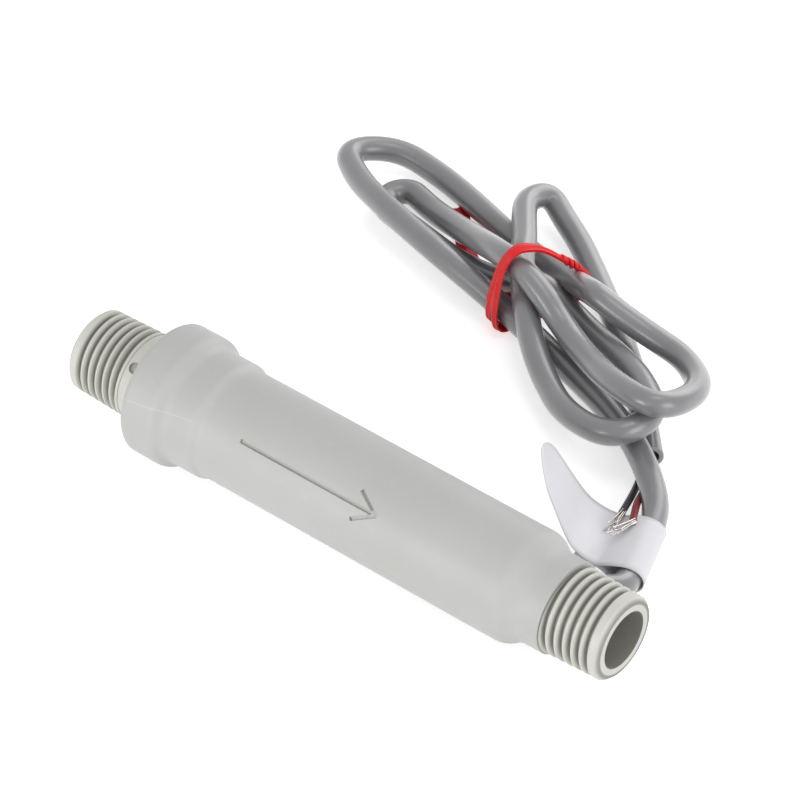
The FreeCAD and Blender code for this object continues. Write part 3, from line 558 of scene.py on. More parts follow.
BRASS = MetalFinish(
    "crimp_brass", (0.660, 0.500, 0.240), (0.470, 0.330, 0.150),
    roughness=0.34)
COPPER = MetalFinish(
    "tinned_copper_strand", (0.720, 0.700, 0.680), (0.560, 0.500, 0.440),
    roughness=0.32, bump_strength=0.2)
GLASS = GlassFinish(
    "reed_glass_shell", (0.820, 0.900, 0.860), (0.780, 0.870, 0.830), (0.840, 0.910, 0.870),
    roughness=0.06, roughness_spread=0.04, speck_share=0.05, bump_strength=0.05)


def metres(point: Point) -> Vector:
    """Return a point given in millimetres as a vector in metres."""
    return Vector(point) * MM


def add_piece(name: str, data: bpy.types.ID) -> Piece:
    """Make an object and show it.

    Args:
        name: Name of the object.
        data: Mesh, curve, light or camera that it shows.

    Returns:
        The new object, at the origin.
    """
    piece = bpy.data.objects.new(name, data)
    bpy.context.scene.collection.objects.link(piece)
    return piece


def settle(piece: Piece, slot: Slot, *nodes: str) -> Piece:
    """Let a new piece ride on the housing, in place of any CAD nodes that it stands for.

    Args:
        piece: The new piece.
        slot: Material slot of the record that it stands for; not used.
        nodes: CAD nodes that it replaces.

    Returns:
        The same piece.
    """
    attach(piece, HOUSING)
    if nodes:
        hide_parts(*nodes)
    return piece


def mirrored(outline: Outline) -> Outline:
    """Return the other half of a section, its points in reverse order."""
    return tuple((-across, out) for across, out in reversed(outline))


def soft_line(name: str, route: tuple[Point, ...], closed: bool = False) -> bpy.types.Curve:
    """Make a smooth line without thickness.

    Args:
        name: Name of the curve.
        route: Control points in millimetres.
        closed: True for a loop.

    Returns:
        The curve.
    """
    curve = bpy.data.curves.new(name, "CURVE")
    curve.dimensions = "3D"
    add_spline(curve, route, closed)
    return curve


def add_spline(curve: bpy.types.Curve, route: tuple[Point, ...], closed: bool = False) -> None:
    """Add one smooth spline to a curve.

    Args:
        curve: Curve that gets the spline.
        route: Control points in millimetres.
        closed: True for a loop.
    """
    spline = curve.splines.new("NURBS")
    spline.points.add(len(route) - 1)
    for knot, point in zip(spline.points, route):
        knot.co = (*metres(point), 1.0)
    spline.order_u = LINE_ORDER
    spline.use_endpoint_u = not closed
    spline.use_cyclic_u = closed
    spline.resolution_u = LINE_STEPS


def line_points(route: tuple[Point, ...], closed: bool = False) -> list[Vector]:
    """Read the points along a smooth line.

    Args:
        route: Control points in millimetres.
        closed: True for a loop.

    Returns:
        Points in metres.
    """
    guide = add_piece("guide", soft_line("guide", route, closed))
    bpy.context.view_layer.update()
    graph = bpy.context.evaluated_depsgraph_get()
    mesh = bpy.data.meshes.new_from_object(guide.evaluated_get(graph))
    points = [vertex.co.copy() for vertex in mesh.vertices]
    curve = guide.data
    bpy.data.objects.remove(guide)
    bpy.data.curves.remove(curve)
    bpy.data.meshes.remove(mesh)
    return points


def strip_frames(points: list[Vector], outwards: list[Vector], closed: bool = False) -> list[Matrix]:
    """Frames along a line: X across the strip, Y out of it, Z along it.

    Args:
        points: Points of the line.
        outwards: Rough outward direction at each point.
        closed: True where the line is a loop.

    Returns:
        One matrix per point.
    """
    frames = []
    count = len(points)
    for index, point in enumerate(points):
        before = points[index - 1] if closed or index else point
        after = points[(index + 1) % count] if closed or index < count - 1 else point
        along = (after - before).normalized()
        out = outwards[index] - along * outwards[index].dot(along)
        out.normalize()
        across = out.cross(along)
        matrix = Matrix((across, out, along)).transposed().to_4x4()
        matrix.translation = point
        frames.append(matrix)
    return frames


def sweep_solid(bm: bmesh.types.BMesh, section: Outline, frames: list[Matrix], closed: bool = False) -> None:
    """Extrude a closed section along frames, leaving no face inside.

    Args:
        bm: Mesh that gets the solid.
        section: Points across and out, in millimetres.
        frames: Frames along the line.
        closed: True where the last frame is the first one again.
    """
    corners = [bm.verts.new(frames[0] @ metres((across, out, 0.0))) for across, out in section]
    first = face = bm.faces.new(corners)
    for before, after in zip(frames, frames[1:]):
        passed = face
        made = bmesh.ops.extrude_face_region(bm, geom=[face])["geom"]
        face = next(item for item in made if isinstance(item, bmesh.types.BMFace))
        if passed is not first and passed.is_valid:
            bmesh.ops.delete(bm, geom=[passed], context="FACES_ONLY")
        bmesh.ops.transform(bm, matrix=after @ before.inverted(), verts=face.verts)
    if closed:
        bmesh.ops.delete(bm, geom=[first, face], context="FACES_ONLY")
        bmesh.ops.remove_doubles(bm, verts=bm.verts, dist=WELD_DISTANCE * MM)


def sweep_sheet(bm: bmesh.types.BMesh, offsets: list[float], frames: list[Matrix]) -> None:
    """Extrude a cross-line along frames into a thin sheet.

    Args:
        bm: Mesh that gets the sheet.
        offsets: Places across the sheet, in millimetres.
        frames: Frames along the line, scaled where the sheet narrows.
    """
    row = [bm.verts.new(frames[0] @ metres((offset, 0.0, 0.0))) for offset in offsets]
    edges = [bm.edges.new(pair) for pair in zip(row, row[1:])]
    for before, after in zip(frames, frames[1:]):
        made = bmesh.ops.extrude_edge_only(bm, edges=edges)["geom"]
        verts = [item for item in made if isinstance(item, bmesh.types.BMVert)]
        chosen = set(verts)
        edges = [item for item in made if isinstance(item, bmesh.types.BMEdge) and set(item.verts) <= chosen]
        bmesh.ops.transform(bm, matrix=after @ before.inverted(), verts=verts)


def mesh_piece(name: str, bm: bmesh.types.BMesh, sharp: float = 40.0) -> Piece:
    """Turn a bmesh into a smooth-shaded piece.

    Args:
        name: Name of the piece.
        bm: Finished mesh, freed here.
        sharp: Angle in degrees past which an edge stays sharp.

    Returns:
        The new object.
    """
    bmesh.ops.recalc_face_normals(bm, faces=bm.faces)
    mesh = bpy.data.meshes.new(name)
    bm.to_mesh(mesh)
    bm.free()
    mesh.shade_smooth()
    mesh.set_sharp_from_angle(angle=math.radians(sharp))
    return add_piece(name, mesh)


@dataclass
class CableLead:
    """Grey cable, one line from the moulded outlet through its tied loops to the cut end."""

    diameter: float = 4.0
    round_steps: int = 6
    cut_sides: int = 36
    cut_over_size: float = 1.012
    cut_length: float = 1.1
    cut_insets: Outline = ((0.12, 0.08), (0.55, 0.0), (0.05, -0.9))
    exit: Point = (30.0, 9.526, 4.95)
    length: float = 510.0
    lead_route: tuple[Point, ...] = (
        (25.0, 9.526, 4.95), (32.3, 9.526, 4.95), (36.6, 10.9, 4.5), (38.7, 13.4, 3.7), (38.3, 16.3, 2.95),
        (35.95, 22.85, 2.9), (34.0, 28.4, 2.9), (31.5, 32.1, 3.1), (27.9, 35.2, 3.7), (23.4, 38.3, 4.1),
        (20.2, 40.3, 3.9),
    )
    long_loop: tuple[Point, ...] = (
        (14.4, 43.5, 3.1), (6.7, 46.6, 2.4), (-1.2, 49.2, 2.2), (-9.2, 51.4, 2.6), (-16.5, 52.0, 4.5),
        (-24.5, 53.0, 5.8), (-32.5, 55.0, 5.9), (-39.2, 57.0, 5.8), (-46.8, 60.0, 5.0), (-54.0, 65.0, 4.5),
        (-48.5, 72.0, 3.1), (-39.8, 71.8, 2.2), (-31.4, 69.7, 2.2), (-23.0, 67.0, 2.2), (-15.8, 65.2, 2.3),
        (-8.7, 63.1, 3.5), (-2.6, 59.4, 7.2), (1.6, 57.3, 9.2), (6.2, 57.2, 7.9), (11.8, 57.8, 6.1),
    )
    outlet_turn: tuple[Point, ...] = (
        (19.1, 57.0, 5.9), (26.8, 50.0, 8.8), (26.5, 38.9, 12.9), (15.9, 41.6, 10.6), (6.5, 47.6, 6.8),
        (0.0, 50.6, 7.3), (-4.7, 51.7, 10.3), (-9.9, 53.1, 11.7), (-16.3, 55.4, 10.0), (-25.4, 60.2, 5.3),
    )
    short_loop: tuple[Point, ...] = (
        (-33.9, 63.6, 2.5), (-37.5, 64.6, 2.5), (-40.6, 65.5, 2.5), (-42.9, 63.3, 2.35), (-42.1, 60.2, 2.2),
        (-38.6, 59.3, 2.2), (-33.0, 58.3, 2.2), (-24.5, 56.6, 2.3), (-16.9, 56.5, 2.7), (-10.3, 59.1, 4.4),
        (-4.8, 58.6, 2.4), (2.2, 56.0, 2.5), (9.0, 52.9, 4.3), (16.3, 48.9, 6.4), (24.4, 42.1, 8.2),
        (21.7, 34.3, 7.8), (11.4, 36.6, 5.2), (4.0, 41.6, 4.2), (-1.5, 45.7, 5.1), (-6.1, 50.0, 6.4),
        (-10.5, 54.9, 7.4), (-13.4, 58.4, 8.2),
    )
    bight_route: tuple[Point, ...] = (
        (-15.5, 61.9, 7.6), (-18.4, 65.6, 6.9), (-22.5, 71.0, 6.0), (-22.3, 74.9, 5.2), (-20.9, 76.3, 4.2),
        (-17.9, 74.9, 3.2), (-12.3, 72.1, 2.4), (-7.6, 68.9, 2.1), (-1.1, 64.0, 2.1), (3.6, 60.3, 2.1),
        (8.6, 56.0, 2.1),
    )
    end_run: tuple[Point, ...] = ((12.2, 52.7, 2.1), (17.1, 48.0, 2.1), (21.3, 43.7, 2.1), (24.2, 40.5, 2.1))

    def route(self) -> tuple[Point, ...]:
        """Return every control point from the outlet to the cut end."""
        return (self.lead_route + self.long_loop + self.outlet_turn + self.short_loop
                + self.bight_route + self.end_run)

    def build(self) -> Piece:
        """Build the cable and stand it in for its CAD solids.

        Returns:
            The cable.
        """
        curve = soft_line("cable", self.route())
        curve.bevel_depth = self.diameter * MM / 2
        curve.bevel_resolution = self.round_steps
        cable = add_piece("cable", curve)
        CABLE.dress(cable)
        return settle(cable, Slot.CABLE, "cable_lead", "cable_hank", "cable_bight")

    def cut_end(self) -> Piece:
        """Build the cut end of the cable jacket with its dark core: the conductors' red, deepened by painted
        shade.

        Returns:
            The cut end.
        """
        tip = metres(self.end_run[-1])
        along = (tip - metres(self.end_run[-2])).normalized()
        matrix = along.to_track_quat("Z", "Y").to_matrix().to_4x4()
        matrix.translation = tip
        radius = self.diameter / 2 * MM * self.cut_over_size
        bm = bmesh.new()
        bmesh.ops.create_circle(bm, cap_ends=True, segments=self.cut_sides, radius=radius)
        made = bmesh.ops.extrude_face_region(bm, geom=bm.faces[:])["geom"]
        face = next(item for item in made if isinstance(item, bmesh.types.BMFace))
        bmesh.ops.translate(bm, vec=UP * self.cut_length * MM, verts=face.verts)
        for inset, rise in self.cut_insets:
            bmesh.ops.inset_individual(bm, faces=[face], thickness=inset * MM, depth=rise * MM)
        # The sunk face takes the core colour, with painted shade in it.
        face.material_index = 1
        bmesh.ops.transform(bm, matrix=matrix, verts=bm.verts)
        piece = mesh_piece("cable_cut_end", bm)
        piece.data.materials.append(CABLE.material())
        piece.data.materials.append(SHADED_CUT_CORE.material())
        return settle(piece, Slot.CABLE)


@dataclass
class TwistTie:
    """Red ribbon with a wire rib, round the waist of the loops, its ends twisted and one lying free."""

    centre: tuple[float, float] = (-8.4, 56.1)
    turn: float = -28.7
    half_width: float = 0.95
    pigtail_half: float = 0.5
    tail_half: float = 1.45
    film_half: float = 0.10
    rib: Outline = ((0.26, 0.32), (0.45, 0.12))
    rib_height: float = 0.40
    rib_depth: float = 0.18
    front_edge: float = -3.0
    front_depth: float = 3.5
    low_gap: float = 1.4
    gap_loss: float = 0.09
    least_gap: float = 0.1
    outer_lift: float = 0.03
    middle_spread: float = 0.82
    spread_loss: float = 0.09
    least_spread: float = 0.45
    pigtail_turns: float = 1.5
    pigtail_ends: float = 0.12
    pigtail_swell: float = 0.22
    band_route: tuple[Point, ...] = (
        (0.0, -7.7, 1.2), (0.0, -7.9, 4.0), (0.0, -7.2, 8.0), (0.0, -6.2, 12.2), (0.0, -4.0, 14.9),
        (0.0, -1.0, 14.3), (0.0, 1.0, 13.0), (0.0, 2.9, 11.2), (0.0, 4.8, 9.2), (0.0, 6.9, 7.5),
        (0.0, 8.4, 5.2), (0.0, 8.0, 2.6), (0.0, 5.0, 0.7), (0.0, 0.0, 0.6), (0.0, -5.2, 0.55),
    )
    pigtail_route: tuple[Point, ...] = (
        (0.0, 3.7, 10.9), (0.0, 4.5, 10.0), (0.1, 5.3, 9.2), (0.2, 6.1, 8.5), (0.3, 6.7, 8.0),
    )
    tail_route: tuple[Point, ...] = (
        (-11.0, 56.6, 0.45), (-20.5, 57.9, 0.45), (-26.2, 60.6, 0.45), (-33.4, 68.8, 0.45),
    )

    def section(self, half: float) -> Outline:
        """Draw the ribbon's section with its wire rib.

        Args:
            half: Half of the ribbon's width.

        Returns:
            Points across and out.
        """
        foot_across, foot_out = self.rib[-1]
        top = (*self.rib, (half, self.film_half))
        foot = ((half, -self.film_half), (foot_across, -foot_out))
        crest, keel = ((0.0, self.rib_height),), ((0.0, -self.rib_depth),)
        return mirrored(top) + crest + top + foot + keel + mirrored(foot)

    def front_share(self, y: float) -> float:
        """Return 1 on the front of the band, falling to 0 where it passes over the bundle."""
        return min(1.0, max(0.0, (self.front_edge - y) / self.front_depth))

    def winding(self, side: float) -> tuple[Point, ...]:
        """Return the route of one winding: side by side in front, one on the other behind.

        Args:
            side: -1 for the inner winding, 1 for the outer one.

        Returns:
            Control points of a loop, in millimetres.
        """
        points = []
        for x, y, z in self.band_route:
            apart = max(self.least_gap, self.front_share(y) * (self.low_gap - self.gap_loss * z))
            outset = 1.0 + max(0.0, side) * self.outer_lift * (1.0 - apart)
            points.append((x + side * apart, y * outset, z * outset))
        return tuple(points)

    def placement(self) -> Matrix:
        """Return the matrix from the tie's own axes to the object."""
        return (Matrix.Translation(metres((*self.centre, 0.0)))
                @ Matrix.Rotation(math.radians(self.turn), 4, "Z"))

    def band(self, bm: bmesh.types.BMesh) -> None:
        """Add the two windings round the bundle.

        Args:
            bm: Mesh that gets the windings.
        """
        place = self.placement()
        for side in (-1.0, 1.0):
            points = line_points(self.winding(side), closed=True)
            middle = sum(points, Vector()) / len(points)
            frames = []
            for item in strip_frames(points, [point - middle for point in points], closed=True):
                narrowed = self.middle_spread - self.spread_loss * item.translation.y / MM
                spread = min(1.0, max(self.least_spread, narrowed))
                frames.append(place @ item @ Matrix.Diagonal((spread, 1.0, 1.0, 1.0)))
            sweep_solid(bm, self.section(self.half_width), frames + frames[:1], closed=True)

    def pigtail(self, bm: bmesh.types.BMesh) -> None:
        """Add the two twisted ends.

        Args:
            bm: Mesh that gets the twisted ends.
        """
        points = line_points(self.pigtail_route)
        place = self.placement()
        for phase in (0.0, math.pi):
            frames = []
            for index, item in enumerate(strip_frames(points, [UP] * len(points))):
                share = index / (len(points) - 1)
                twist = Matrix.Rotation(phase + math.tau * self.pigtail_turns * share, 4, "Z")
                swell = self.pigtail_ends + self.pigtail_swell * math.sin(math.pi * share)
                frames.append(place @ item @ twist @ Matrix.Translation(metres((0.0, swell, 0.0))))
            sweep_solid(bm, self.section(self.pigtail_half), frames)

    def tail(self, bm: bmesh.types.BMesh) -> None:
        """Add the flat end that lies on the ground."""
        points = line_points(self.tail_route)
        sweep_solid(bm, self.section(self.tail_half), strip_frames(points, [UP] * len(points)))

    def build(self) -> Piece:
        """Build the whole tie as one piece.

        Returns:
            The tie.
        """
        bm = bmesh.new()
        self.band(bm)
        self.pigtail(bm)
        self.tail(bm)
        tie = mesh_piece("tie_ribbon", bm, sharp=60.0)
        TIE.dress(tie)
        return settle(tie, Slot.TIE, "twist_tie")


@dataclass
class FlagLabel:
    """Blank white sticker folded round the cable, its flag curling up to a rounded tip."""

    centre: Point = (35.95, 22.85, 2.9)
    turn: float = 109.5
    width: float = 11.0
    thickness: float = 0.16
    wrap_route: tuple[Point, ...] = (
        (-0.4, 7.6, 1.2), (-0.9, 5.0, 0.6), (-1.2, 3.4, -0.2), (-1.5, 1.9, -1.8), (-1.6, 0.0, -2.49),
        (-1.6, -1.76, -1.76), (-1.6, -2.49, 0.0), (-1.6, -1.76, 1.76), (-1.6, 0.0, 2.49), (-1.5, 1.8, 2.2),
        (-1.3, 3.2, 1.7), (-0.9, 4.8, 0.95), (-0.4, 7.3, 1.3), (0.0, 9.7, 2.7), (0.0, 11.2, 5.3),
        (0.0, 12.6, 8.2), (0.0, 14.1, 11.2), (0.0, 15.6, 14.2),
    )
    flag_length: float = 17.0
    flag_twist: float = 18.0
    tip_round: float = 4.5
    tip_share: float = 0.08
    half_steps: int = 6

    def placement(self) -> Matrix:
        """Return the matrix from the sleeve's axes to the object."""
        return Matrix.Translation(metres(self.centre)) @ Matrix.Rotation(math.radians(self.turn), 4, "Z")

    def frames(self) -> list[Matrix]:
        """Place frames along the strip, twisting and narrowing towards the tip.

        Returns:
            One matrix per point of the strip.
        """
        points = line_points(self.wrap_route)
        runs = [0.0]
        for before, after in zip(points, points[1:]):
            runs.append(runs[-1] + (after - before).length / MM)
        across = Vector((1, 0, 0))
        outwards = []
        for index in range(len(points)):
            before = points[max(index - 1, 0)]
            after = points[min(index + 1, len(points) - 1)]
            outwards.append((after - before).normalized().cross(across))
        place = self.placement()
        frames = []
        for item, run in zip(strip_frames(points, outwards), runs):
            left = runs[-1] - run
            share = max(0.0, 1.0 - left / self.flag_length)
            twist = Matrix.Rotation(math.radians(self.flag_twist) * share, 4, "Z")
            narrow = math.sqrt(1.0 - max(0.0, 1.0 - left / self.tip_round) ** 2)
            scale = Matrix.Diagonal((max(self.tip_share, narrow), 1.0, 1.0, 1.0))
            frames.append(place @ item @ twist @ scale)
        return frames

    def build(self) -> Piece:
        """Build the label with its film's thickness.

        Returns:
            The label.
        """
        step = self.width / 2 / self.half_steps
        offsets = [step * count for count in range(-self.half_steps, self.half_steps + 1)]
        bm = bmesh.new()
        sweep_sheet(bm, offsets, self.frames())
        label = mesh_piece("label_flag", bm, sharp=70.0)
        film = label.modifiers.new("film", "SOLIDIFY")
        film.thickness = self.thickness * MM
        film.offset = 0.0
        LABEL.dress(label)
        return settle(label, Slot.LABEL, "cable_label")


@dataclass
class StrippedEnd:
    """One insulated conductor out of the cut cable, with its bare strands."""

    colour: str
    finish: Finish
    slot: Slot
    route: tuple[Point, ...]
    aim: Point
    diameter: float = 1.1
    strand_count: int = 9
    strand_diameter: float = 0.2
    strand_length: float = 4.2
    round_steps: int = 4
    strand_round_steps: int = 2
    bundle_radius: float = 0.42
    bundle_turn: float = 2.4
    widening: float = 0.6
    bend: float = 0.45
    side_splay: float = 0.5
    side_turn: float = 1.7
    side_start: float = 0.4
    lift_splay: float = 0.2
    lift_spread: float = 0.18
    lift_turn: float = 2.9
    trim: float = 0.2
    trim_turn: float = 3.7
    stations: tuple[float, ...] = (-0.15, 0.25, 0.65, 1.0)

    def conductor(self) -> Piece:
        """Build the insulated stretch.

        Returns:
            The conductor.
        """
        curve = soft_line(f"conductor_{self.colour}", self.route)
        curve.bevel_depth = self.diameter * MM / 2
        curve.bevel_resolution = self.round_steps
        curve.use_fill_caps = True
        piece = add_piece(f"conductor_{self.colour}", curve)
        self.finish.dress(piece)
        return settle(piece, self.slot, f"tail_conductor_{self.colour}")

    def strands(self) -> Piece:
        """Build the bare strands, each with its own bend.

        Returns:
            The strands, as one piece.
        """
        tip = Vector(self.route[-1])
        along = Vector(self.aim).normalized()
        side = UP.cross(along).normalized()
        lift = along.cross(side)
        curve = bpy.data.curves.new(f"strands_{self.colour}", "CURVE")
        curve.dimensions = "3D"
        for index in range(self.strand_count):
            angle = self.bundle_turn * index
            ring = self.bundle_radius * math.sqrt((index + 0.5) / self.strand_count)
            root = side * (ring * math.cos(angle)) + lift * (ring * math.sin(angle))
            aside = self.side_splay * math.cos(self.side_turn * index + self.side_start)
            upward = self.lift_splay + self.lift_spread * math.sin(self.lift_turn * index)
            splay = aside * side + upward * lift
            length = self.strand_length * (1.0 - self.trim + self.trim * math.sin(self.trim_turn * index))
            points = []
            for share in self.stations:
                spread = max(share, 0.0)
                bent = splay * (length * spread ** 2 * self.bend)
                apart = root * (1 + self.widening * spread)
                points.append(tuple(tip + apart + along * (length * share) + bent))
            add_spline(curve, tuple(points))
        curve.bevel_depth = self.strand_diameter * MM / 2
        curve.bevel_resolution = self.strand_round_steps
        curve.use_fill_caps = True
        piece = add_piece(f"strands_{self.colour}", curve)
        COPPER.dress(piece)
        return settle(piece, Slot.COPPER, f"tail_strands_{self.colour}")


BLACK_END = StrippedEnd(
    "black", BLACK_SKIN, Slot.BLACK, aim=(0.10, -0.97, -0.08),
    route=((23.8, 40.0, 1.6), (25.2, 37.4, 0.7), (26.3, 34.6, 0.7), (28.2, 30.4, 2.5), (30.4, 25.2, 4.8)))
RED_END = StrippedEnd(
    "red", RED_SKIN, Slot.RED, aim=(-0.30, -0.93, -0.10),
    route=((25.0, 40.2, 1.8), (27.0, 37.2, 0.65), (28.0, 33.4, 0.65), (30.2, 29.0, 3.6), (33.2, 24.0, 5.6)))


@dataclass
class CableOutlet:
    """Moulded boss on the back of the barrel, rising out of it and narrowing onto the cable."""

    start: float = 10.6
    crest: float = 14.0
    shoulder: float = 22.0
    exit: float = 30.0
    radial: float = 11.0
    radius: float = 3.1
    flare: Outline = ((3.1, -1.0), (3.16, -1.8), (3.38, -2.5), (3.8, -3.05), (4.6, -3.75))
    droop: float = 30.0
    root: float = -3.4
    least_swell: float = 0.1
    tip_width: float = 0.82
    tip_height: float = 0.9
    lip: float = 0.05
    lip_length: float = 0.4
    lip_stations: tuple[float, ...] = (0.28, 0.16, 0.06, 0.0)
    crown_steps: int = 16
    steps: int = 12

    def section(self) -> Outline:
        """Draw the boss's section, round outside and flaring into the barrel.

        Returns:
            Points across and out.
        """
        turns = [math.pi * step / self.crown_steps for step in range(self.crown_steps + 1)]
        crown = tuple((self.radius * math.cos(turn), self.radius * math.sin(turn)) for turn in turns)
        side = self.flare[::-1]
        return crown + mirrored(side) + side

    def spread(self, station: float) -> tuple[float, float]:
        """Size the section at a station.

        Args:
            station: Place along X.

        Returns:
            Width and height, as shares of the full section's.
        """
        if station < self.crest:
            share = (self.crest - station) / (self.crest - self.start)
            swell = max(self.least_swell, math.sqrt(max(0.0, 1.0 - share ** 2)))
            return swell, swell
        share = max(0.0, (station - self.shoulder) / (self.exit - self.shoulder))
        ease = share * share * (3.0 - 2.0 * share)
        lip = self.lip * max(0.0, (station - self.exit) / self.lip_length + 1.0) ** 2
        return 1.0 + ease * (self.tip_width - 1.0) - lip, 1.0 + ease * (self.tip_height - 1.0) - lip

    def build(self) -> Piece:
        """Build the boss in place of its CAD solid.

        Returns:
            The boss.
        """
        tilt = math.radians(self.droop)
        out = Vector((0.0, math.cos(tilt), -math.sin(tilt)))
        along = Vector((1.0, 0.0, 0.0))
        turned = Matrix((out.cross(along), out, along)).transposed().to_4x4()
        turns = [math.pi / 2 * step / self.steps for step in range(self.steps + 1)]
        rise = [self.crest - (self.crest - self.start) * math.cos(turn) for turn in turns]
        reach = self.exit - self.lip_length - self.crest
        run = [self.crest + reach * step / self.steps for step in range(1, self.steps + 1)]
        rim = [self.exit - left for left in self.lip_stations]
        base = Matrix.Translation(metres((0.0, self.root, 0.0)))
        frames = []
        for station in rise + run + rim:
            wide, high = self.spread(station)
            spot = Matrix.Translation(metres((station, 0.0, AXIS_HEIGHT)) + out * (self.radial * MM))
            frames.append(spot @ turned @ base @ Matrix.Diagonal((wide, high, 1.0, 1.0)) @ base.inverted())
        bm = bmesh.new()
        sweep_solid(bm, self.section(), frames)
        boss = mesh_piece("cable_outlet_boss", bm, sharp=55.0)
        JACKET.dress(boss)
        return settle(boss, Slot.JACKET, "cable_gland")


@dataclass
class ReturnSpring:
    """Coil spring behind the piston, which shortens as the piston moves in."""

    start: float = -11.13
    stop: float = 14.33
    wire: float = 0.5
    mean_diameter: float = 5.8
    turns: int = 9
    steps_per_turn: int = 32
    wire_sides: int = 10
    fixed_end: Point = (14.6, 0.0, AXIS_HEIGHT)
    free_length: float = 26.0
    travel: float = 9.0

    def build(self) -> Piece:
        """Spin a round section into the coil and give the spring its own mesh.

        Returns:
            The spring.
        """
        axis = metres((self.start, 0.0, AXIS_HEIGHT))
        middle = axis + UP * (self.mean_diameter / 2 * MM)
        bm = bmesh.new()
        bmesh.ops.create_circle(bm, segments=self.wire_sides, radius=self.wire / 2 * MM)
        bmesh.ops.translate(bm, vec=middle, verts=bm.verts)
        for name in ("Y", "Z"):
            quarter = Matrix.Rotation(math.pi / 2, 4, name)
            bmesh.ops.rotate(bm, cent=middle, matrix=quarter, verts=bm.verts)
        steps = self.turns * self.steps_per_turn
        advance = metres(((self.stop - self.start) / steps, 0.0, 0.0))
        bmesh.ops.spin(bm, geom=bm.verts[:] + bm.edges[:], cent=axis, axis=(1, 0, 0), dvec=advance,
                       angle=2 * math.pi * self.turns, steps=steps, use_merge=False)
        bmesh.ops.holes_fill(bm, edges=bm.edges, sides=self.wire_sides)
        spring = mesh_piece("return_spring_coil", bm)
        SPRING.dress(spring)
        settle(spring, Slot.SPRING, "return_spring")
        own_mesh(spring)
        return spring


class SwitchBody:
    """Moulded body, piston and reed switch: CAD nodes that keep their shape and get a finish."""

    def dress(self) -> list[str]:
        """Put a finish on every CAD node that keeps its shape.

        Returns:
            Names of the nodes.
        """
        finishes = {
            "outer_jacket": JACKET, "flow_tube": THREAD, "inlet_fitting": THREAD, "inlet_seal": SEAL,
            "piston_body": PISTON, "piston_cap": PISTON, "piston_magnet": MAGNET, "reed_capsule": GLASS,
            "reed_blade_fixed": ALLOY, "reed_lead_inlet": ALLOY, "reed_blade_moving": ALLOY,
            "lead_crimp_inlet": BRASS, "lead_crimp_outlet": BRASS, "switch_conductor_black": BLACK_SKIN,
            "switch_conductor_red": RED_SKIN, "reed_potting": POTTING,
        }
        for node, finish in finishes.items():
            finish.dress(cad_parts[node])
        return list(finishes)


@dataclass
class SoftLamp:
    """Square soft lamp aimed at the object; lengths in millimetres, power in watts."""

    name: str
    place: Point
    size: float
    power: float
    aim: Point = (0.0, 25.0, 8.0)

    def build(self) -> None:
        """Add the lamp."""
        light = bpy.data.lights.new(self.name, "AREA")
        light.shape = "SQUARE"
        light.size = self.size * MM
        light.energy = self.power
        lamp = add_piece(self.name, light)
        lamp.location = metres(self.place)
        lamp.rotation_euler = (metres(self.aim) - lamp.location).to_track_quat("-Z", "Y").to_euler()


LAMPS = (
    SoftLamp("front_softbox", (-180.0, -600.0, 150.0), size=300.0, power=1.7),
    SoftLamp("top_softbox", (60.0, 120.0, 720.0), size=280.0, power=0.6),
    SoftLamp("side_softbox", (620.0, -60.0, 260.0), size=400.0, power=1.5),
    SoftLamp("back_softbox", (-20.0, 330.0, 170.0), size=250.0, power=0.4),
)


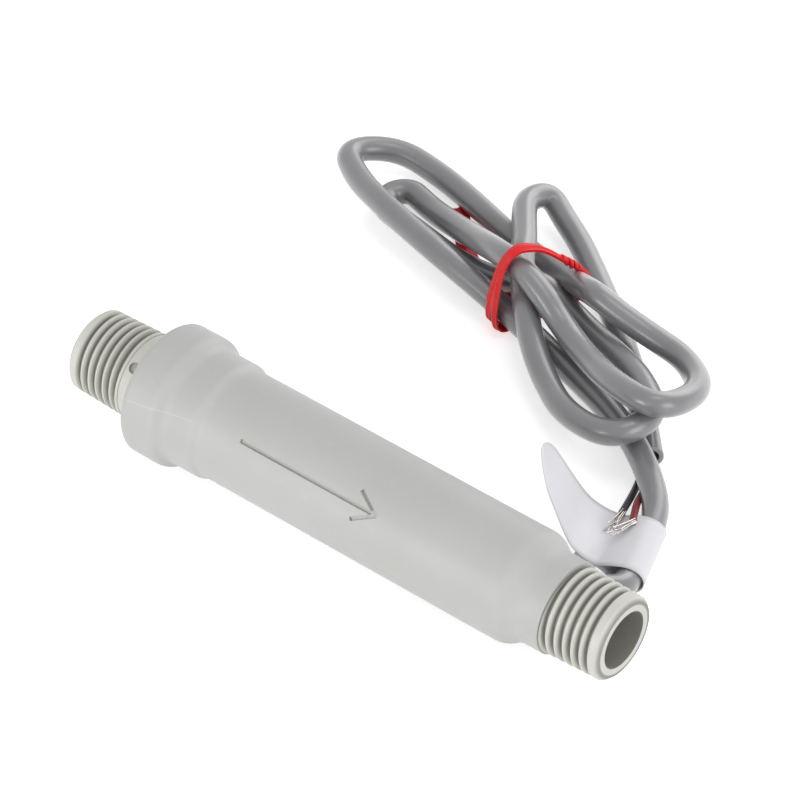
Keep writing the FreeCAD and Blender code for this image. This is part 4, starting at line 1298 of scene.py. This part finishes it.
@dataclass
class StudioStage:
    """White table, even light and the photograph's camera."""

    floor_size: float = 6000.0
    floor_colour: Colour = (0.9, 0.9, 0.9)
    floor_roughness: float = 0.6
    ambient: float = 0.4
    seen_glow: float = 0.6
    camera_place: Point = (293.456, -354.444, 444.055)
    camera_forward: Point = (-0.46335, 0.57852, -0.67128)
    camera_right: Point = (0.78052, 0.62514, 0.0)
    lens: float = 198.486
    sensor: float = 36.0

    @staticmethod
    def seen(graph: NodeGraph) -> Socket:
        """Mask the rays through which the camera sees a surface.

        Args:
            graph: Graph of a material or of the world.

        Returns:
            Mask socket.
        """
        rays = graph.add("ShaderNodeLightPath")
        direct = graph.maths("MAXIMUM", rays.outputs["Is Camera Ray"], rays.outputs["Is Glossy Ray"])
        return graph.maths("MAXIMUM", direct, rays.outputs["Is Transmission Ray"])

    def floor(self) -> None:
        """Build the pale floor, white where nothing shades it."""
        bm = bmesh.new()
        bmesh.ops.create_grid(bm, x_segments=2, y_segments=2, size=self.floor_size / 2 * MM)
        mesh = bpy.data.meshes.new("floor")
        bm.to_mesh(mesh)
        bm.free()
        floor = add_piece("floor", mesh)
        material = bpy.data.materials.new("white_table")
        material.use_nodes = True
        graph = NodeGraph(material.node_tree)
        shader = material.node_tree.nodes["Principled BSDF"]
        shader.inputs["Base Color"].default_value = (*self.floor_colour, 1.0)
        shader.inputs["Roughness"].default_value = self.floor_roughness
        strength = graph.times(self.seen(graph), self.seen_glow)
        glow = graph.add("ShaderNodeEmission", {"Strength": strength})
        both = graph.add("ShaderNodeAddShader", {0: shader.outputs[0], 1: glow.outputs[0]})
        graph.link(both.outputs[0], material.node_tree.nodes["Material Output"].inputs[0])
        floor.data.materials.append(material)

    def world(self) -> None:
        """Light the scene evenly, with white behind the object."""
        world = bpy.data.worlds.new("studio")
        world.use_nodes = True
        bpy.context.scene.world = world
        graph = NodeGraph(world.node_tree)
        backdrop = world.node_tree.nodes["Background"]
        backdrop.inputs["Color"].default_value = (1.0, 1.0, 1.0, 1.0)
        strength = graph.maths("MULTIPLY_ADD", self.seen(graph), self.seen_glow, self.ambient)
        graph.link(strength, backdrop.inputs["Strength"])

    def camera(self) -> None:
        """Place the camera where the photograph was taken from."""
        data = bpy.data.cameras.new("camera")
        data.sensor_width = self.sensor
        data.lens = self.lens
        data.clip_start = 0.01
        data.clip_end = 50.0
        camera = add_piece("camera", data)
        right = Vector(self.camera_right).normalized()
        back = -Vector(self.camera_forward).normalized()
        up = back.cross(right)
        matrix = Matrix((right, up, back)).transposed().to_4x4()
        matrix.translation = metres(self.camera_place)
        camera.matrix_world = matrix
        bpy.context.scene.camera = camera

    def build(self) -> None:
        """Set up floor, light and camera."""
        self.floor()
        self.world()
        for lamp in LAMPS:
            lamp.build()
        self.camera()
        bpy.context.scene.view_settings.view_transform = "Standard"


def main() -> None:
    """Build every sub-assembly in order."""
    logging.basicConfig(level=logging.INFO, format="%(message)s")
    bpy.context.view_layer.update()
    StudioStage().build()
    lead = CableLead()
    cable = lead.build()
    pieces = [lead.cut_end(), TwistTie().build(), FlagLabel().build()]
    for end in (BLACK_END, RED_END):
        pieces += [end.conductor(), end.strands()]
    pieces.append(CableOutlet().build())
    spring = ReturnSpring().build()
    for piece in [cable, *pieces, spring]:
        LOG.info("built %s", piece.name)
    for node in SwitchBody().dress():
        LOG.info("dressed %s", node)


if __name__ == "__main__":
    main()
